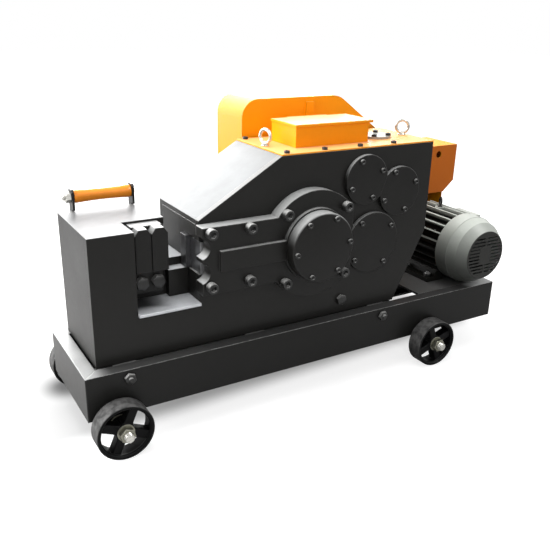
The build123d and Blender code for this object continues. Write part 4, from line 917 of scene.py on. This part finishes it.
wheelSet = {
    "front_near_wheel": {"at": (64.0, -5.0), "side": "-y", "turn": 66.0},
    "rear_near_wheel": {"at": (920.0, -5.0), "side": "-y", "turn": 20.0},
    "front_far_wheel": {"at": (64.0, 296.0), "side": "+y", "turn": 20.0},
    "rear_far_wheel": {"at": (920.0, 296.0), "side": "+y", "turn": 45.0},
}
wheelShape = {
    "radius": 62.0, "width": 42.0, "rim": 7.0, "rimEase": 2.2, "lipReach": (2.5, 2.0), "lipDepth": (9.0, 3.0),
    "lipEase": 1.6, "hub": 20.0, "bore": 10.05, "hubFrom": -0.5, "hubFace": 36.0, "hubEase": 1.4,
    "rimColumns": 96, "hubColumns": 64, "treadWidth": 2.0,
    "spokes": 4, "spokeMiddle": 22.5, "spokeHalf": (10.0, 12.5), "spokeReach": (16.0, 57.0), "spokeRows": 16,
    "spokeColumns": 40, "squareness": 0.25, "rimFlare": 2.6, "hubFlare": 1.6, "hubFlareAt": 18.0, "flareLength": 3.0,
}


def makeSpoke(spec, heading):
    # a loop that is nearly a rectangle runs outward and flares by an exponential where it meets hub and rim
    r = np.linspace(*spec["spokeReach"], spec["spokeRows"])
    halfWide, halfDeep = spec["spokeHalf"]
    rimFlare = spec["rimFlare"] * np.exp((r - spec["spokeReach"][1]) / spec["flareLength"])
    hubFlare = spec["hubFlare"] * np.exp((spec["hubFlareAt"] - r) / spec["flareLength"])
    half = halfWide + rimFlare + hubFlare
    loop = around(spec["spokeColumns"])
    wide = np.sign(np.cos(loop)) * np.abs(np.cos(loop)) ** spec["squareness"]
    deep = np.sign(np.sin(loop)) * np.abs(np.sin(loop)) ** spec["squareness"]
    c, s = math.cos(heading), math.sin(heading)
    out = r[:, None] + 0 * wide
    side = half[:, None] * wide
    z = spec["spokeMiddle"] + halfDeep * deep + 0 * side
    rows = np.stack([out * c - side * s, out * s + side * c, z], -1)
    first, last = (np.broadcast_to(rows[i].mean(0), rows[i].shape)[None] for i in (0, -1))
    points = np.concatenate([first, rows, last]).reshape(-1, 3)
    return points, gridFaces(len(r) + 2, len(loop))


def makeWheelSkin(spec, turn):
    # rim, lip and hub are turned rings; the marks are 1 on the tread
    outer, width = spec["radius"], spec["width"]
    inner = outer - spec["rim"]
    rimBox = roundedBox(inner, outer, 0.0, width, spec["rimEase"], 5)
    lipBox = roundedBox(inner - spec["lipReach"][0], outer - spec["lipReach"][1], width - spec["lipDepth"][0],
                        width - spec["lipDepth"][1], spec["lipEase"])
    hubBox = roundedBox(spec["bore"], spec["hub"], spec["hubFrom"], spec["hubFace"], spec["hubEase"])
    rim = turned(rimBox, spec["rimColumns"], wrapRows=True)
    lip = turned(lipBox, spec["rimColumns"], wrapRows=True)
    hub = turned(hubBox, spec["hubColumns"], wrapRows=True)
    skins = [rim, lip, hub]
    for k in range(spec["spokes"]):
        skins.append(makeSpoke(spec, math.radians(turn + 360.0 * k / spec["spokes"])))
    tread = np.clip((np.hypot(*rim[0][:, :2].T) - outer + spec["rimEase"]) / spec["treadWidth"], 0.0, 1.0)
    marks = [tread] + [np.zeros(len(points)) for points, faces in skins[1:]]
    return joined(skins), np.concatenate(marks)


def makeWheels(wheels, shape):
    for name, spec in wheels.items():
        skin, marks = makeWheelSkin(shape, spec["turn"])
        placed = setOn(skin, (*spec["at"], axleSet["z"]), spec["side"])
        makePiece(name + ".cast", placed, "wheel_iron", name, [name], marks)


# lifting eyes: forged ring on a flared neck and a round collar
eyeSet = [
    {"at": (489.0, 138.0, 509.0), "size": 1.0, "turn": 107.0},
    {"at": (890.0, 131.0, 509.0), "size": 1.0, "turn": -31.0},
    {"at": (1095.0, 171.0, 284.0), "size": 0.72, "turn": 59.0},
]
eyeShape = {"radius": 15.5, "rise": 21.97, "thick": 3.8, "swell": 0.7, "power": 3, "around": 56, "across": 20,
            "neckColumns": 36, "sharp": 50.0,
            "neck": [(0.0, 0.0), (9.2, 0.0), (9.5, 0.5), (9.5, 3.2), (8.6, 4.1), (6.4, 4.7), (5.2, 6.2), (0.0, 7.6)]}


def makeEyes(name, rows, shape, replaced, finish):
    # the ring is a torus whose thickness swells towards the neck
    a = around(shape["around"])[:, None]
    b = around(shape["across"])[None, :]
    thick = shape["thick"] + shape["swell"] * np.clip(-np.sin(a), 0.0, 1.0) ** shape["power"]
    reach = shape["radius"] + thick * np.cos(b)
    torus = np.stack([reach * np.cos(a), thick * np.sin(b) + 0 * a, reach * np.sin(a) + shape["rise"]], -1)
    eyeRing = (torus.reshape(-1, 3), gridFaces(shape["around"], shape["across"], wrapRows=True))
    points, faces = joined([eyeRing, turned(shape["neck"], shape["neckColumns"])])
    skins = [setOn((points * spec["size"], faces), spec["at"], "+z", spec["turn"]) for spec in rows]
    makePiece(name, joined(skins), "zinc", "frame", replaced, sharp=shape["sharp"], finish=finish)


# bar roller: waisted sleeve with eased ends, and its bolt with nut, thread and riveted cap
rollerSet = {"from": 72.0, "length": 128.0, "at": (250.0, 411.0), "end": 15.0, "waist": 12.8, "rows": 33,
             "ease": 1.4, "easeRate": 90, "bore": 7.05, "columns": 48, "sharp": 40.0}
rollerBoltSet = {"nutAt": 66.0, "nut": (22.0, 12.0), "nutTurn": 12, "stud": (7.0, 10.0, 18.0, 1.75), "radius": 7.0,
                 "length": 140.0, "columns": 32, "capAt": 206.0,
                 "cap": [(0.0, 0.0), (10.0, 0.0), (10.0, 1.6), (9.0, 2.7), (6.0, 3.0), (0.0, 3.0)]}


def makeRoller(spec):
    # the radius follows a parabola from end to waist and falls off by an exponential at the ends
    u = np.linspace(0.0, 1.0, spec["rows"])
    r = spec["waist"] + (spec["end"] - spec["waist"]) * (2 * u - 1) ** 2
    eased = r - spec["ease"] * np.exp(-np.minimum(u, 1 - u) * spec["easeRate"])
    skinRows = np.stack([eased, spec["length"] * u], -1)
    rows = np.concatenate([[(spec["bore"], 0.0)], skinRows, [(spec["bore"], spec["length"])]])
    sleeve = setOn(turned(rows, spec["columns"], wrapRows=True), (spec["from"], *spec["at"]), "+x")
    makePiece("rollerSleeve", sleeve, "roller_paint", "bar_roller", ["bar_roller"], sharp=spec["sharp"])


def makeRollerBolt(spec, middle):
    rodRows = [(0.0, 0.0), (spec["radius"], 0.0), (spec["radius"], spec["length"]), (0.0, spec["length"])]
    nut = setOn(hexHead(*spec["nut"]), (spec["nutAt"], *middle), "-x", spec["nutTurn"])
    tip = setOn(threadedStud(*spec["stud"]), (spec["nutAt"], *middle), "-x")
    rod = setOn(turned(rodRows, spec["columns"]), (spec["nutAt"], *middle), "+x")
    cap = setOn(turned(spec["cap"], spec["columns"]), (spec["capAt"], *middle), "+x")
    makePiece("rollerBolt", joined([nut, tip, rod, cap]), "zinc", "frame", ["roller_axle"])


# crank cover: cast cap with a rounded lip
crankCoverSet = {"radius": 82.0, "seat": -6.0, "depth": 28.0, "foot": 2.0, "lip": 5.0, "lipRows": 6, "columns": 120}


def makeCrankCover(spec):
    a = np.linspace(0.0, np.pi / 2, spec["lipRows"])
    r, d, lip = spec["radius"], spec["depth"], spec["lip"]
    edge = np.stack([r - lip + lip * np.cos(a), d - lip + lip * np.sin(a)], -1)
    rows = np.concatenate([[(0.0, 0.0), (r, 0.0), (r, spec["foot"])], edge, [(0.0, d)]])
    cap = setOn(turned(rows, spec["columns"]), (crankAt[0], spec["seat"], crankAt[1]), "-y")
    makePiece("crankCap", cap, "charcoal_paint", "frame", ["crank_cover"], finish="guide_paint")


makeCoverScrews(coverScrewSet, farScrewSet)
makeDeckScrews(deckScrewSet, flangeScrewSet)
makeGuideBolts(guideBoltSet)
makeHexBolts(hexSet)
makeAxles(axleSet)
makeAxleNuts(nutSet)
makeWheels(wheelSet, wheelShape)
makeEyes("forgedEyes", eyeSet[:2], eyeShape, ["lifting_eyes"], "zinc")
makeEyes("motorEye", eyeSet[2:], eyeShape, [], "black_oxide")
makeRoller(rollerSet)
makeRollerBolt(rollerBoltSet, rollerSet["at"])
makeCrankCover(crankCoverSet)
print("stage: fasteners, wheels, eyes, roller and cap")
